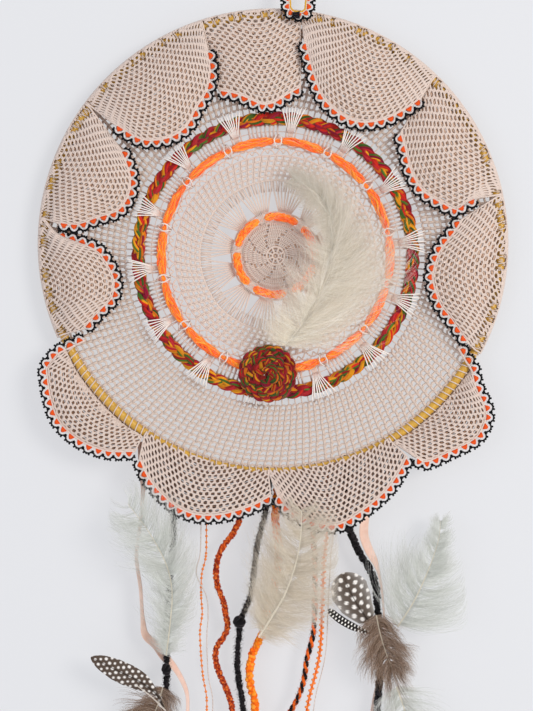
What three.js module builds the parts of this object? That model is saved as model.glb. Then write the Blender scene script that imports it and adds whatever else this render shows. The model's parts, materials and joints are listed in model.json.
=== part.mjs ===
// Dream catcher: a crocheted doily stretched in a ribbon-wrapped hoop, with eleven border lobes, a hanging
// loop, and feathered strands of yarn and ribbon below. Millimetres, +Z up, front towards -Y.
// The origin is the point where the hanging loop rests on its nail.
import * as THREE from 'three';

// ---------- Driving dimensions ----------
const HOOP_X = -16;            // hoop centre, sideways of the nail
const HOOP_Z = -210;           // hoop centre, below the nail
const HOOP_R = 147;            // centreline radius of the ring
const CORE_R = 2;              // bare ring's own radius
const WRAP_IN = 2.3;           // ribbon wrap, inner radius
const WRAP_OUT = 3;            // ribbon wrap, outer radius
const WRAP_SLIT = 0.35;        // half angle of the wrap's open seam, radians
const HOOP_STEPS = 48;         // straight steps round the hoop
const GAP = 0.3;               // clearance between touching pieces

const WEB_FRONT = 0;           // the doily ground lies from here ...
const WEB_BACK = 1;            // ... back to here
const WEB_R = 143.5;
const DOILY_X = 1.6;           // centre of the doily's pattern, from the hoop centre
const DOILY_Z = -7.7;

const RING_FRONT = -5.3;       // front of the threaded yarn rings
const RING_BACK = -GAP;
const INNER_RING_R = 25.2;
const INNER_RING_W = 5;
const OUTER_RING_R = 73.5;
const OUTER_RING_W = 5.8;
const BRAID_R = 88.3;
const BRAID_W = 8.7;

const ROSETTE = { x: -3.2, z: -83.2, r: 19.3, back: -5.7, front: -16 };

const LOBE_CLEAR = WRAP_OUT + 1.1;   // lobe mid-surface round the hoop tube
const LOBE_T = 1.2;                  // lobe thickness
const EDGE_W = 5.6;                  // edging width
const EDGE_T = 1.4;                  // edging thickness
const EDGE_INSET = EDGE_W / 2 + 0.6; // lace ends this far inside the edging's centre line

const rad = (deg) => (deg * Math.PI) / 180;

// ---------- Small helpers ----------
const object = new THREE.Group();
const hoop = new THREE.Group();
hoop.position.set(HOOP_X, 0, HOOP_Z);
object.add(hoop);

function material(color, roughness, metalness = 0) {
  return new THREE.MeshStandardMaterial({ color, roughness, metalness });
}

const finish = {
  steel: material('#8f9296', 0.4, 0.9),
  mustard: material('#d9a93c', 0.45),
  lace: material('#dccabf', 0.9),
  orange: material('#ff7a1a', 0.9),
  braid: material('#a8321f', 0.9),
  edging: material('#e05a28', 0.85),
  peach: material('#eab79c', 0.4),
  black: material('#141315', 0.95),
  rust: material('#b8481a', 0.9),
  cream: material('#e6e2d6', 0.95),
  brown: material('#75614f', 0.95),
  guinea: material('#4a3f3a', 0.8),
};

function add(name, geometry, mat, parent = hoop) {
  const mesh = new THREE.Mesh(geometry, mat);
  mesh.name = name;
  parent.add(mesh);
  return mesh;
}

// A closed body from a grid of section rings: rings[i] is a loop of points, capped at both ends.
function loft(rings, closed = false) {
  const n = rings[0].length;
  const position = [];
  const index = [];
  for (const ring of rings) {
    for (const p of ring) {
      position.push(p.x, p.y, p.z);
    }
  }
  const spans = closed ? rings.length : rings.length - 1;
  for (let i = 0; i < spans; i += 1) {
    const a = i * n;
    const b = ((i + 1) % rings.length) * n;
    for (let j = 0; j < n; j += 1) {
      const k = (j + 1) % n;
      index.push(a + j, a + k, b + k, a + j, b + k, b + j);
    }
  }
  if (!closed) {
    // each end is closed by strips between opposite points, so a bent section closes too
    const last = (rings.length - 1) * n;
    for (let j = 0; j < n / 2 - 1; j += 1) {
      const quad = [j, j + 1, n - 2 - j, n - 1 - j];
      index.push(quad[0], quad[2], quad[1], quad[0], quad[3], quad[2]);
      const far = quad.map((v) => v + last);
      index.push(far[0], far[1], far[2], far[0], far[2], far[3]);
    }
  }
  const geometry = new THREE.BufferGeometry();
  geometry.setAttribute('position', new THREE.Float32BufferAttribute(position, 3));
  geometry.setIndex(orient(position, index));
  return geometry;
}

// Flips the faces of a closed body when they point inwards.
function orient(position, index) {
  let volume = 0;
  const point = (i) => new THREE.Vector3(position[3 * i], position[3 * i + 1], position[3 * i + 2]);
  for (let t = 0; t < index.length; t += 3) {
    volume += point(index[t]).dot(point(index[t + 1]).cross(point(index[t + 2])));
  }
  if (volume > 0) {
    return index;
  }
  const flipped = [];
  for (let t = 0; t < index.length; t += 3) {
    flipped.push(index[t], index[t + 2], index[t + 1]);
  }
  return flipped;
}

// A ring about the Y axis from a closed section given as [radius, y] pairs.
function ringSolid(radius, section, cx, cz, steps) {
  const rings = [];
  for (let i = 0; i < steps; i += 1) {
    const a = (2 * Math.PI * i) / steps;
    rings.push(section.map(([dr, y]) => new THREE.Vector3(
      cx + (radius + dr) * Math.sin(a),
      y,
      cz + (radius + dr) * Math.cos(a),
    )));
  }
  return loft(rings, true);
}

function roundSection(r, sides) {
  const points = [];
  for (let j = 0; j < sides; j += 1) {
    const a = (2 * Math.PI * j) / sides;
    points.push([r * Math.cos(a), r * Math.sin(a)]);
  }
  return points;
}

function ovalSection(width, front, back, sides) {
  const mid = (front + back) / 2;
  const half = (back - front) / 2;
  return roundSection(1, sides).map(([u, v]) => [(u * width) / 2, mid + v * half]);
}

// ---------- Hoop ----------
add('hoop_core', ringSolid(HOOP_R, roundSection(CORE_R, 6), 0, 0, HOOP_STEPS), finish.steel);

function wrapSection() {
  const outer = [];
  const inner = [];
  const steps = 7;
  for (let j = 0; j <= steps; j += 1) {
    const a = WRAP_SLIT + ((2 * Math.PI - 2 * WRAP_SLIT) * j) / steps;
    // the open seam faces the back, +Y
    const u = Math.sin(a);
    const v = Math.cos(a);
    outer.push([WRAP_OUT * u, WRAP_OUT * v]);
    inner.push([WRAP_IN * u, WRAP_IN * v]);
  }
  return outer.concat(inner.reverse());
}
add('hoop_wrap', ringSolid(HOOP_R, wrapSection(), 0, 0, HOOP_STEPS), finish.mustard);

// ---------- Doily ground and what is threaded through it ----------
function disc(r, y0, y1, cx, cz, steps) {
  const ring = (y) => {
    const points = [];
    for (let i = 0; i < steps; i += 1) {
      const a = (2 * Math.PI * i) / steps;
      points.push(new THREE.Vector3(cx + r * Math.sin(a), y, cz + r * Math.cos(a)));
    }
    return points;
  };
  return loft([ring(y0), ring(y1)]);
}
add('doily_web', disc(WEB_R, WEB_FRONT, WEB_BACK, 0, 0, HOOP_STEPS), finish.lace);

function threadedRing(name, radius, width, mat) {
  const section = ovalSection(width, RING_FRONT, RING_BACK, 6);
  add(name, ringSolid(radius, section, DOILY_X, DOILY_Z, 40), mat);
}
threadedRing('orange_ring_inner', INNER_RING_R, INNER_RING_W, finish.orange);
threadedRing('orange_ring_outer', OUTER_RING_R, OUTER_RING_W, finish.orange);
threadedRing('braid_ring', BRAID_R, BRAID_W, finish.braid);

function dome(r, back, front, cx, cz, steps) {
  const ring = (k, y) => {
    const points = [];
    for (let i = 0; i < steps; i += 1) {
      const a = (2 * Math.PI * i) / steps;
      points.push(new THREE.Vector3(cx + k * r * Math.sin(a), y, cz + k * r * Math.cos(a)));
    }
    return points;
  };
  const rise = front - back;
  return loft([ring(0.88, back), ring(1, back + 0.3 * rise), ring(0.86, back + 0.75 * rise), ring(0.5, front)]);
}
add('rosette', dome(ROSETTE.r, ROSETTE.back, ROSETTE.front, ROSETTE.x, ROSETTE.z, 28), finish.braid);

// ---------- Border lobes and their edging ----------
// from, to: clock angles of the two valleys. tuck: where the lace leaves the hoop tube at each end and in the
// middle, 0 at its outside and 90 at its front. over: where it meets the tube, when that isn't its outside.
// hangs: the lobe falls outward instead of being folded in. depth: how far forward the edge hangs. trim: what is left off
// each end of the edging, as a share. edge: the centre line of the edging, [x, z] from the hoop centre.
const LOBES = {
  a: { from: 7, to: 44, tuck: [90, 90, 90], depth: [9.5, 10, 9.5], crown: 8, trim: [0.04, 0.04],
    edge: [[17.4, 127.7], [23, 105.7], [28.7, 91.1], [40, 79.9], [52.2, 74.1], [65.8, 74.1], [79.2, 78.7],
      [91.5, 86.1], [96.1, 89.9]] },
  b: { from: 44, to: 78, tuck: [90, 90, 90], depth: [7, 8.5, 8], crown: 8, trim: [0.1, 0.03],
    edge: [[79.5, 67.8], [81.2, 59.6], [84.8, 45.1], [92.6, 31.6], [106.1, 22.6], [117.3, 18.6], [124, 22.6],
      [130.9, 26]] },
  c: { from: 78, to: 118, tuck: [90, 90, 90], depth: [7, 8, 7.5], crown: 8, trim: [0.1, 0.04],
    edge: [[116.3, 13.2], [113, 8.3], [103.8, -3.2], [99.3, -15.5], [98.3, -22.4], [103.8, -40.4],
      [110.6, -49.3], [121.8, -65.1]] },
  d: { hangs: true, from: 121.5, to: 149, tuck: [0, 0, 0], depth: [4, 9, 10], crown: 5,
    trim: [0.02, 0.03],
    edge: [[131, -80.5], [132, -87], [134.1, -94.1], [137.5, -101], [139.3, -109.9],
      [137.5, -117.8], [131.9, -126.7], [115.1, -135.8], [96.1, -143.1], [89.3, -139.3]] },
  e: { hangs: true, from: 149, to: 181, over: 115, tuck: [75, 75, 75], depth: [12, 14, 13], crown: 4,
    trim: [0.03, 0.03],
    edge: [[88.1, -138], [84.3, -145.4], [77, -156.7], [66.7, -167], [55.4, -175.4], [42.9, -182.4],
      [30.3, -182.4], [16.1, -177.3], [5.8, -170.2], [0.6, -163]] },
  f: { hangs: true, from: 181, to: 214, over: 115, tuck: [75, 75, 75], depth: [13, 14, 12], crown: 4,
    trim: [0.03, 0.03],
    edge: [[0, -164], [-9.3, -169.2], [-20.7, -173.3], [-34.2, -176.4], [-48.5, -176.4], [-60.9, -172.1],
      [-72.3, -163], [-82.7, -150.6], [-87.8, -139.3]] },
  g: { hangs: true, from: 214, to: 243, tuck: [0, 0, 0], depth: [10, 9, 4], crown: 5,
    trim: [0.03, 0.02],
    edge: [[-88.3, -136.4], [-105.1, -136.4], [-119.4, -132], [-131.6, -124.2], [-140.5, -114.1],
      [-145.1, -100.9], [-147.6, -86.4], [-148.2, -79.8], [-145.4, -74.6], [-140.5, -72.4]] },
  h: { from: 246.4, to: 276, tuck: [90, 90, 90], depth: [8.6, 8, 5.6], crown: 8, trim: [0.04, 0.2],
    edge: [[-118.3, -56.5], [-108.3, -45.1], [-100.6, -37.4], [-98.3, -29.7], [-98.3, -23.2], [-100.6, -16.5],
      [-105.1, -8.8], [-109.6, -3.2], [-115, 0.1], [-121.6, 2.6], [-131.6, 5.8], [-137.3, 7.9]] },
  i: { from: 276, to: 306.8, tuck: [90, 90, 90], depth: [8.4, 8.5, 8], crown: 8, trim: [0.04, 0.06],
    edge: [[-137.3, 9.7], [-125.1, 8.6], [-111.6, 13], [-98.3, 17.4], [-92.8, 22.6], [-89, 29.7], [-87.7, 36.3],
      [-87.7, 43.2], [-89.6, 49.6], [-92.2, 54.3], [-94.4, 57.7]] },
  j: { from: 306.8, to: 342, tuck: [90, 90, 90], depth: [9.5, 10, 9.5], crown: 8, trim: [0.04, 0.04],
    edge: [[-102.2, 72.9], [-93.9, 67.4], [-86.1, 63.2], [-78.8, 61.9], [-65.1, 64], [-52.9, 71.8],
      [-46.1, 84], [-39.5, 95.2], [-36.7, 109.6], [-38.7, 123.1]] },
  k: { from: 342, to: 367, tuck: [90, 90, 90], depth: [6.5, 8, 6.5], crown: 6, trim: [0.06, 0.06],
    edge: [[-33, 95.3], [-26.4, 92.8], [-19.3, 90.3], [-12.2, 87], [-6.4, 85.1], [1.7, 86.6], [9, 90.8],
      [16.5, 95.5]] },
};
const LOBE_COLUMNS = 10;       // steps along each lobe's edge
const VALLEY_GAP = 0.35;       // degrees kept free on each side of a valley

function smooth(t) {
  return t * t * (3 - 2 * t);
}

// A value that runs from ends[0] through the middle value to ends[2].
function blend3(ends, u) {
  if (u < 0.25) {
    return ends[0] + (ends[1] - ends[0]) * smooth(u / 0.25);
  }
  if (u > 0.75) {
    return ends[1] + (ends[2] - ends[1]) * smooth((u - 0.75) / 0.25);
  }
  return ends[1];
}

function edgeCurve(lobe) {
  return new THREE.CatmullRomCurve3(lobe.edge.map(([x, z]) => new THREE.Vector3(x, 0, z)), false, 'centripetal');
}

// The edging's centre line at u, moved towards the lobe's inside by inset.
function edgePoint(lobe, curve, u, inset) {
  const p = curve.getPointAt(u);
  const t = curve.getTangentAt(u);
  const side = new THREE.Vector3(-t.z, 0, t.x);
  // seen from the front every edge runs clockwise, so its lace lies on the same side of it all along
  p.addScaledVector(side, (lobe.hangs ? -1 : 1) * inset);
  p.y = -blend3(lobe.depth, u);
  return p;
}

function hoopPoint(lobe, u, tuck) {
  const clock = rad(lobe.from + VALLEY_GAP + (lobe.to - lobe.from - 2 * VALLEY_GAP) * u);
  const r = HOOP_R + LOBE_CLEAR * Math.cos(rad(tuck));
  return new THREE.Vector3(r * Math.sin(clock), -LOBE_CLEAR * Math.sin(rad(tuck)), r * Math.cos(clock));
}

// Points of one lobe's mid-surface at u, from the hoop to its edge.
function lobeColumn(lobe, curve, u) {
  const tuck = blend3(lobe.tuck, u);
  const points = [];
  const wrapStart = lobe.over || 0;
  const wrapSteps = 2;
  for (let i = 0; i < wrapSteps; i += 1) {
    points.push(hoopPoint(lobe, u, wrapStart + ((tuck - wrapStart) * i) / wrapSteps));
  }
  const start = hoopPoint(lobe, u, tuck);
  const end = edgePoint(lobe, curve, u, EDGE_INSET);
  const steps = 3;
  for (let i = 0; i <= steps; i += 1) {
    const s = i / steps;
    const p = start.clone().lerp(end, s);
    p.y -= lobe.crown * Math.sin(Math.PI * s) * Math.sin(Math.PI * u);
    points.push(p);
  }
  return points;
}

function lobeSolid(lobe) {
  const curve = edgeCurve(lobe);
  const rings = [];
  for (let i = 0; i <= LOBE_COLUMNS; i += 1) {
    const u = i / LOBE_COLUMNS;
    const line = lobeColumn(lobe, curve, u);
    const front = [];
    const back = [];
    line.forEach((p, j) => {
      const a = line[Math.max(j - 1, 0)];
      const b = line[Math.min(j + 1, line.length - 1)];
      const along = b.clone().sub(a).normalize();
      const across = hoopPoint(lobe, Math.min(u + 0.05, 1), 0).sub(hoopPoint(lobe, Math.max(u - 0.05, 0), 0));
      const normal = along.clone().cross(across).normalize();
      front.push(p.clone().addScaledVector(normal, LOBE_T / 2));
      back.push(p.clone().addScaledVector(normal, -LOBE_T / 2));
    });
    rings.push(front.concat(back.reverse()));
  }
  return loft(rings);
}

function edgingSolid(lobe) {
  const curve = edgeCurve(lobe);
  const rings = [];
  const steps = 16;
  for (let i = 0; i <= steps; i += 1) {
    const u = lobe.trim[0] + (1 - lobe.trim[0] - lobe.trim[1]) * (i / steps);
    const inner = edgePoint(lobe, curve, u, EDGE_W / 2);
    const outer = edgePoint(lobe, curve, u, -EDGE_W / 2);
    const half = new THREE.Vector3(0, EDGE_T / 2, 0);
    rings.push([inner.clone().add(half), outer.clone().add(half), outer.clone().sub(half), inner.clone().sub(half)]);
  }
  return loft(rings);
}

for (const [letter, lobe] of Object.entries(LOBES)) {
  add(`lobe_${letter}`, lobeSolid(lobe), finish.lace);
  add(`edging_${letter}`, edgingSolid(lobe), finish.edging);
}

// ---------- Hanging loop ----------
const LOOP_BOTTOM = -58.4;     // the tie, just above the hoop
const LOOP_HALF = 12;          // half width outside
const LOOP_BAND = 5.5;         // width of the crochet band
const LOOP_T = 2;

function teardrop(halfWidth, top, bottom) {
  const shape = new THREE.Shape();
  shape.moveTo(0, bottom);
  shape.bezierCurveTo(halfWidth * 0.5, bottom + 14, halfWidth * 1.35, top - 26, halfWidth, top - 12);
  shape.bezierCurveTo(halfWidth * 0.8, top - 2, halfWidth * 0.5, top, 0, top);
  shape.bezierCurveTo(-halfWidth * 0.5, top, -halfWidth * 0.8, top - 2, -halfWidth, top - 12);
  shape.bezierCurveTo(-halfWidth * 1.35, top - 26, -halfWidth * 0.5, bottom + 14, 0, bottom);
  return shape;
}
const loopShape = teardrop(LOOP_HALF, LOOP_BAND, LOOP_BOTTOM);
loopShape.holes.push(teardrop(LOOP_HALF - LOOP_BAND, 0, LOOP_BOTTOM + 19));
const loopSolid = new THREE.ExtrudeGeometry(loopShape, { depth: LOOP_T, bevelEnabled: false, curveSegments: 8 });
loopSolid.rotateX(Math.PI / 2);
loopSolid.translate(0, LOOP_T / 2, 0);
add('hanging_loop', loopSolid, finish.edging, object);

// ---------- Strands ----------
// Each route is a list of [x, y, z] from the hoop centre, starting just under the hoop.
const ROUTES = {
  ribbon_left: [[-84.5, 0, -127.4], [-84, 0, -140], [-83.8, 0, -155.8], [-85.6, 0, -178], [-88.3, 0, -201.2],
    [-85.7, 0, -221.8], [-84.2, 0, -242.4], [-82.6, 1, -252], [-75.4, 3.4, -259.5], [-70.6, 3.8, -266.5],
    [-64.4, 3.4, -273], [-58.9, 1.5, -281.5], [-55.8, 0, -289.5], [-55.3, 0, -300.2], [-57, 0, -318],
    [-60.5, 0, -338], [-61, 0, -360], [-58, 0, -384]],
  yarn_black_left: [[-64.5, -0.5, -137.6], [-64, -0.5, -155], [-64, -0.5, -175.4], [-65, -0.5, -200], [-67, 0, -225],
    [-68.4, 0, -246], [-68.6, 0, -262], [-68.4, 0, -279.6], [-69.5, 0, -296], [-71, 0, -318],
    [-72.5, 0, -342], [-72, 0, -368], [-70.5, 0, -398]],
  string_bobble: [[-42.2, 0, -144.7], [-42.9, 0, -162], [-42.9, 0, -180.5], [-43.4, 0, -202.2], [-45.8, 0, -212],
    [-46.3, 0, -227], [-45.6, 0, -238], [-47, 0, -249], [-46.5, 0, -263], [-45.1, 0, -278.5],
    [-42.8, 0, -292], [-42.9, 0, -306], [-44.8, 0, -330], [-43.6, 0, -352], [-45, 0, -376]],
  string_pale_left: [[-46.5, 0, -143.6], [-46.6, 0, -162], [-46.4, 0, -184], [-47, 0, -200], [-49.4, 0, -212],
    [-42.7, -2.6, -227], [-41.8, 0, -240], [-42.6, 0, -252], [-42.4, 0, -266], [-41.4, 0, -280],
    [-38.9, 0, -293], [-39.4, 0, -308], [-41.1, 0, -330], [-40, 0, -352]],
  cord_rust: [[-21, 0, -149.3], [-21.2, 0, -163], [-21.7, 0, -177.3], [-25.9, 0, -186.7], [-32.2, 0, -195],
    [-35.7, 0, -203.1], [-36.7, 0, -213.4], [-35.7, 0, -220.8], [-32.2, 0, -230.1], [-30, 0, -240.4],
    [-29.3, 0, -247.6], [-32.2, 0, -253.8], [-36.2, 0, -259.8], [-37.2, 0, -266.2], [-35.1, 0, -275.3],
    [-30.5, 0, -285.6], [-26.9, 0, -295.9], [-26.4, 0, -306], [-29, 0, -322], [-33, 0, -340],
    [-34, 0, -358], [-31, 0, -376], [-29.4, 0, -392]],
  yarn_black_mid: [[-2.6, 0, -150.4], [-2.9, 0, -160], [-4.2, 0, -170.2], [-7.3, 0, -182.5], [-9.9, 0, -192.8],
    [-11.6, 0, -205], [-13, 0, -217.7], [-14.5, 0, -226.9], [-18.3, 0, -236.3], [-21.2, 0, -243.4],
    [-21.7, 0, -250.7], [-22.8, 0, -261], [-23, 0, -271.4], [-21.7, 0, -283.7], [-19.9, 0, -294],
    [-19.3, 0, -304], [-20, 0, -326], [-21, 0, -350], [-20, 0, -376], [-18, 0, -402]],
  yarn_orange: [[3.4, 0, -150.7], [2.6, 0, -160], [1.9, 0, -169.2], [1.4, 0, -178.5], [3.4, 0, -192.8],
    [3.2, 0, -208], [0.4, 0, -222], [-3.7, 0, -236.3], [-4.6, 0, -246.7], [-9.3, 0, -255.9],
    [-13.6, 0, -265.2], [-15, 0, -276.5], [-14.4, 0, -285.6], [-12, 0, -294], [-11.5, 0, -304],
    [-9, 0, -320], [-10, 0, -340], [-12.5, 0, -358], [-11, 0, -378]],
  cord_twisted: [[24, 0, -148.3], [25, 0, -166], [26.2, 0, -190], [27, 0, -218], [26.4, 0, -246.6],
    [25, 0, -255.9], [21.7, 0, -268.2], [20.4, 0, -278.5], [17.6, 0, -288.8], [13, 0, -298.2],
    [7.2, 0, -308], [5, 0, -322], [6.5, 0, -340], [8, 0, -362], [7, 0, -388]],
  cord_picot: [[34, 0, -146.4], [35, 0, -163], [35.4, 0, -180.5], [33, 0, -201.2], [32.4, 0, -215.7],
    [31.4, 0, -240.4], [31, 0, -252.7], [29.7, 0, -266.2], [27, 0, -278.5], [24.2, 0, -288.8],
    [21.6, 0, -302], [21.6, 0, -320], [23.6, 0, -342], [24, 0, -366]],
  string_pale_right: [[39, 0, -145.2], [39.6, 0, -163], [39.4, 0, -182], [37.2, 0, -201.2], [36.4, 0, -215.7],
    [35.2, 0, -240.4], [34.8, 0, -252.7], [33.5, 0, -266.2], [30.8, 0, -278.5], [28, 0, -288.8],
    [26, 0, -302], [26.2, 0, -320], [28, 0, -340]],
  yarn_black_right: [[46.5, 0, -145.4], [46.8, 0, -160], [48.1, 0, -180.5], [52.2, 0, -190.8], [56.4, 0, -200.1],
    [61.6, 0, -208.3], [65.7, 0, -218.7], [67, 0, -229], [67.7, 0, -242], [69, 0, -262],
    [68.6, 0, -280], [67.4, 0, -296], [66.6, 0, -314], [68, 0, -336], [70.5, 0, -360], [71, 0, -386]],
  ribbon_right: [[60.5, 0, -140.2], [60, 0, -158], [59.3, 0, -174], [58.5, 0.8, -182.5], [58.8, 2.6, -188.8],
    [61.6, 4.2, -197], [65.7, 4.4, -205.3], [68, 4.4, -212.5], [69.9, 4.4, -222.8], [71.2, 4.4, -236],
    [72, 4.4, -256], [69, 4.4, -276], [65.2, 4.4, -292], [63, 3, -306], [60.5, 1.5, -326],
    [61.5, 0.5, -348], [64, 0, -372]],
};

// name: [diameter or width, thickness for a flat ribbon, sides, finish]
const STRANDS = {
  ribbon_left: { width: 6, thick: 0.8, mat: finish.peach },
  yarn_black_left: { width: 4.4, sides: 8, mat: finish.black },
  string_bobble: { width: 1.6, sides: 6, mat: finish.orange },
  string_pale_left: { width: 1, sides: 6, mat: finish.lace },
  cord_rust: { width: 4.2, sides: 8, mat: finish.rust },
  yarn_black_mid: { width: 4, sides: 8, mat: finish.black },
  yarn_orange: { width: 6, sides: 8, mat: finish.orange },
  cord_twisted: { width: 4.2, sides: 8, mat: finish.black },
  cord_picot: { width: 3, sides: 8, mat: finish.orange },
  string_pale_right: { width: 1, sides: 6, mat: finish.lace },
  yarn_black_right: { width: 5, sides: 8, mat: finish.black },
  ribbon_right: { width: 6, thick: 0.8, mat: finish.peach },
};

function strandSolid(route, { width, thick, sides = 4 }) {
  const curve = new THREE.CatmullRomCurve3(route.map((p) => new THREE.Vector3(...p)), false, 'centripetal');
  const steps = Math.min(26, Math.round(curve.getLength() / Math.max(2.5 * width, 9)));
  const rings = [];
  for (let i = 0; i <= steps; i += 1) {
    const p = curve.getPointAt(i / steps);
    const t = curve.getTangentAt(i / steps);
    const across = new THREE.Vector3(-t.z, 0, t.x).normalize();
    const out = t.clone().cross(across).normalize();
    const section = [];
    for (let j = 0; j < sides; j += 1) {
      const a = (2 * Math.PI * (j + 0.5)) / sides;
      const scale = thick ? Math.SQRT2 : 1;
      const u = (Math.cos(a) * scale * width) / 2;
      const v = (Math.sin(a) * scale * (thick || width)) / 2;
      section.push(p.clone().addScaledVector(across, u).addScaledVector(out, v));
    }
    rings.push(section);
  }
  return loft(rings);
}

for (const [name, strand] of Object.entries(STRANDS)) {
  add(name, strandSolid(ROUTES[name], strand), strand.mat);
}

// ---------- Knots ----------
function knot(name, x, y, z, r, stretch, mat) {
  const geometry = new THREE.SphereGeometry(r, 10, 6);
  geometry.scale(1, 1, stretch);
  const clean = weldSphere(geometry);
  clean.translate(x, y, z);
  add(name, clean, mat);
}

// A sphere with shared vertices, so that the seam and poles close.
function weldSphere(geometry) {
  const source = geometry.getAttribute('position');
  const keys = new Map();
  const position = [];
  const remap = [];
  for (let i = 0; i < source.count; i += 1) {
    const key = [source.getX(i), source.getY(i), source.getZ(i)].map((v) => Math.round(v * 1e4)).join(',');
    if (!keys.has(key)) {
      keys.set(key, keys.size);
      position.push(source.getX(i), source.getY(i), source.getZ(i));
    }
    remap.push(keys.get(key));
  }
  const index = [];
  const old = geometry.getIndex();
  for (let t = 0; t < old.count; t += 3) {
    const tri = [remap[old.getX(t)], remap[old.getX(t + 1)], remap[old.getX(t + 2)]];
    if (new Set(tri).size === 3) {
      index.push(...tri);
    }
  }
  const welded = new THREE.BufferGeometry();
  welded.setAttribute('position', new THREE.Float32BufferAttribute(position, 3));
  welded.setIndex(orient(position, index));
  return welded;
}

knot('knot_black_mid', -21.6, -6.9, -242.4, 4.4, 1, finish.black);
knot('binding_left', -68.4, -5.9, -273, 3.3, 1.6, finish.black);
knot('knot_rust', -29.3, 0, -397.5, 4, 1.1, finish.rust);
knot('knot_twisted', 6.9, 0, -393.4, 4, 1.1, finish.black);
knot('knot_picot', 24.1, 0, -370.6, 3.2, 1.1, finish.orange);

// ---------- Feathers ----------
// A feather is a flat body along its quill from base to tip: [x, y, z] points, half widths at even steps from
// base to tip, and a thickness.
function feather(name, quill, halfWidths, thick, mat) {
  const curve = new THREE.CatmullRomCurve3(quill.map((p) => new THREE.Vector3(...p)), false, 'centripetal');
  const steps = 9;
  const rings = [];
  for (let i = 0; i <= steps; i += 1) {
    const s = i / steps;
    const p = curve.getPointAt(s);
    const t = curve.getTangentAt(s);
    const across = new THREE.Vector3(-t.z, 0, t.x).normalize();
    const at = s * (halfWidths.length - 1);
    const k = Math.min(Math.floor(at), halfWidths.length - 2);
    const half = halfWidths[k] + (halfWidths[k + 1] - halfWidths[k]) * (at - k);
    const section = [];
    for (const [u, v] of [[1, 0], [0.45, 0.5], [-0.45, 0.5], [-1, 0], [-0.45, -0.5], [0.45, -0.5]]) {
      section.push(p.clone().addScaledVector(across, u * half).add(new THREE.Vector3(0, v * thick, 0)));
    }
    rings.push(section);
  }
  add(name, loft(rings), mat);
}

feather('feather_centre', [[10.5, -10, -64.5], [26, -13, -54], [40, -15, -38], [48, -16, -18], [48.5, -16, 2],
  [42, -16, 20], [32, -14, 33], [20, -12, 42]], [3, 14, 21, 24, 24, 22, 18, 13, 4], 7, finish.cream);
feather('feather_white_left', [[-69, -6.6, -262], [-65, -7.6, -253], [-64, -8.2, -232], [-66.5, -8.2, -211],
  [-76, -7.6, -186]], [1.5, 9, 14, 13, 5], 4, finish.cream);
feather('feather_guinea_left', [[-69.5, -11.5, -297], [-74, -12.6, -288], [-84, -13, -280], [-98, -13, -273],
  [-114, -13, -266]], [0.8, 1, 4.5, 5.4, 1.6], 1, finish.guinea);
feather('feather_brown_left', [[-70.5, -8.6, -284], [-74, -8.8, -296], [-80, -8.4, -308], [-86, -8, -322]],
  [3, 11, 14, 6], 3.6, finish.brown);
feather('feather_cream_mid', [[-9.2, -7.4, -252], [-0.4, -8.6, -238], [7.6, -9.6, -224], [14, -10.4, -206],
  [16.4, -11, -190]], [1.5, 13, 17, 16, 7], 5, finish.cream);
feather('feather_guinea_right', [[62, -6.4, -243], [55, -7.2, -233], [48.4, -7.4, -221], [44.6, -7.4, -211]],
  [2, 10, 11, 5], 1.2, finish.guinea);
feather('feather_barred_right', [[62.4, -10.2, -249.4], [52, -10.6, -245.4], [43, -10.6, -240.4],
  [36, -10.4, -236]], [0.8, 2.4, 2.4, 0.8], 1, finish.guinea);
feather('feather_brown_right', [[69.6, -7.8, -240], [70, -9.4, -252], [72, -9.4, -266], [74, -8.6, -281]],
  [5, 10, 12, 9], 5, finish.brown);
feather('feather_white_right', [[81, -3.6, -252], [88, -5, -236], [96, -6, -218], [103, -6, -199], [107.6, -5, -181]],
  [2, 12, 14, 11, 4], 4, finish.cream);
feather('feather_white_low', [[79, -6, -284], [84, -6, -298], [88, -6, -316], [91, -6, -338]], [3, 10, 12, 4], 4,
  finish.cream);

export default object;
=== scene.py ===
"""Crocheted dream catcher: a doily stretched in a ribbon-wrapped hoop, with picot-edged lobes, a hanging
loop, and feathered strands of yarn, cord and satin ribbon."""

import json
import math

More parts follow.
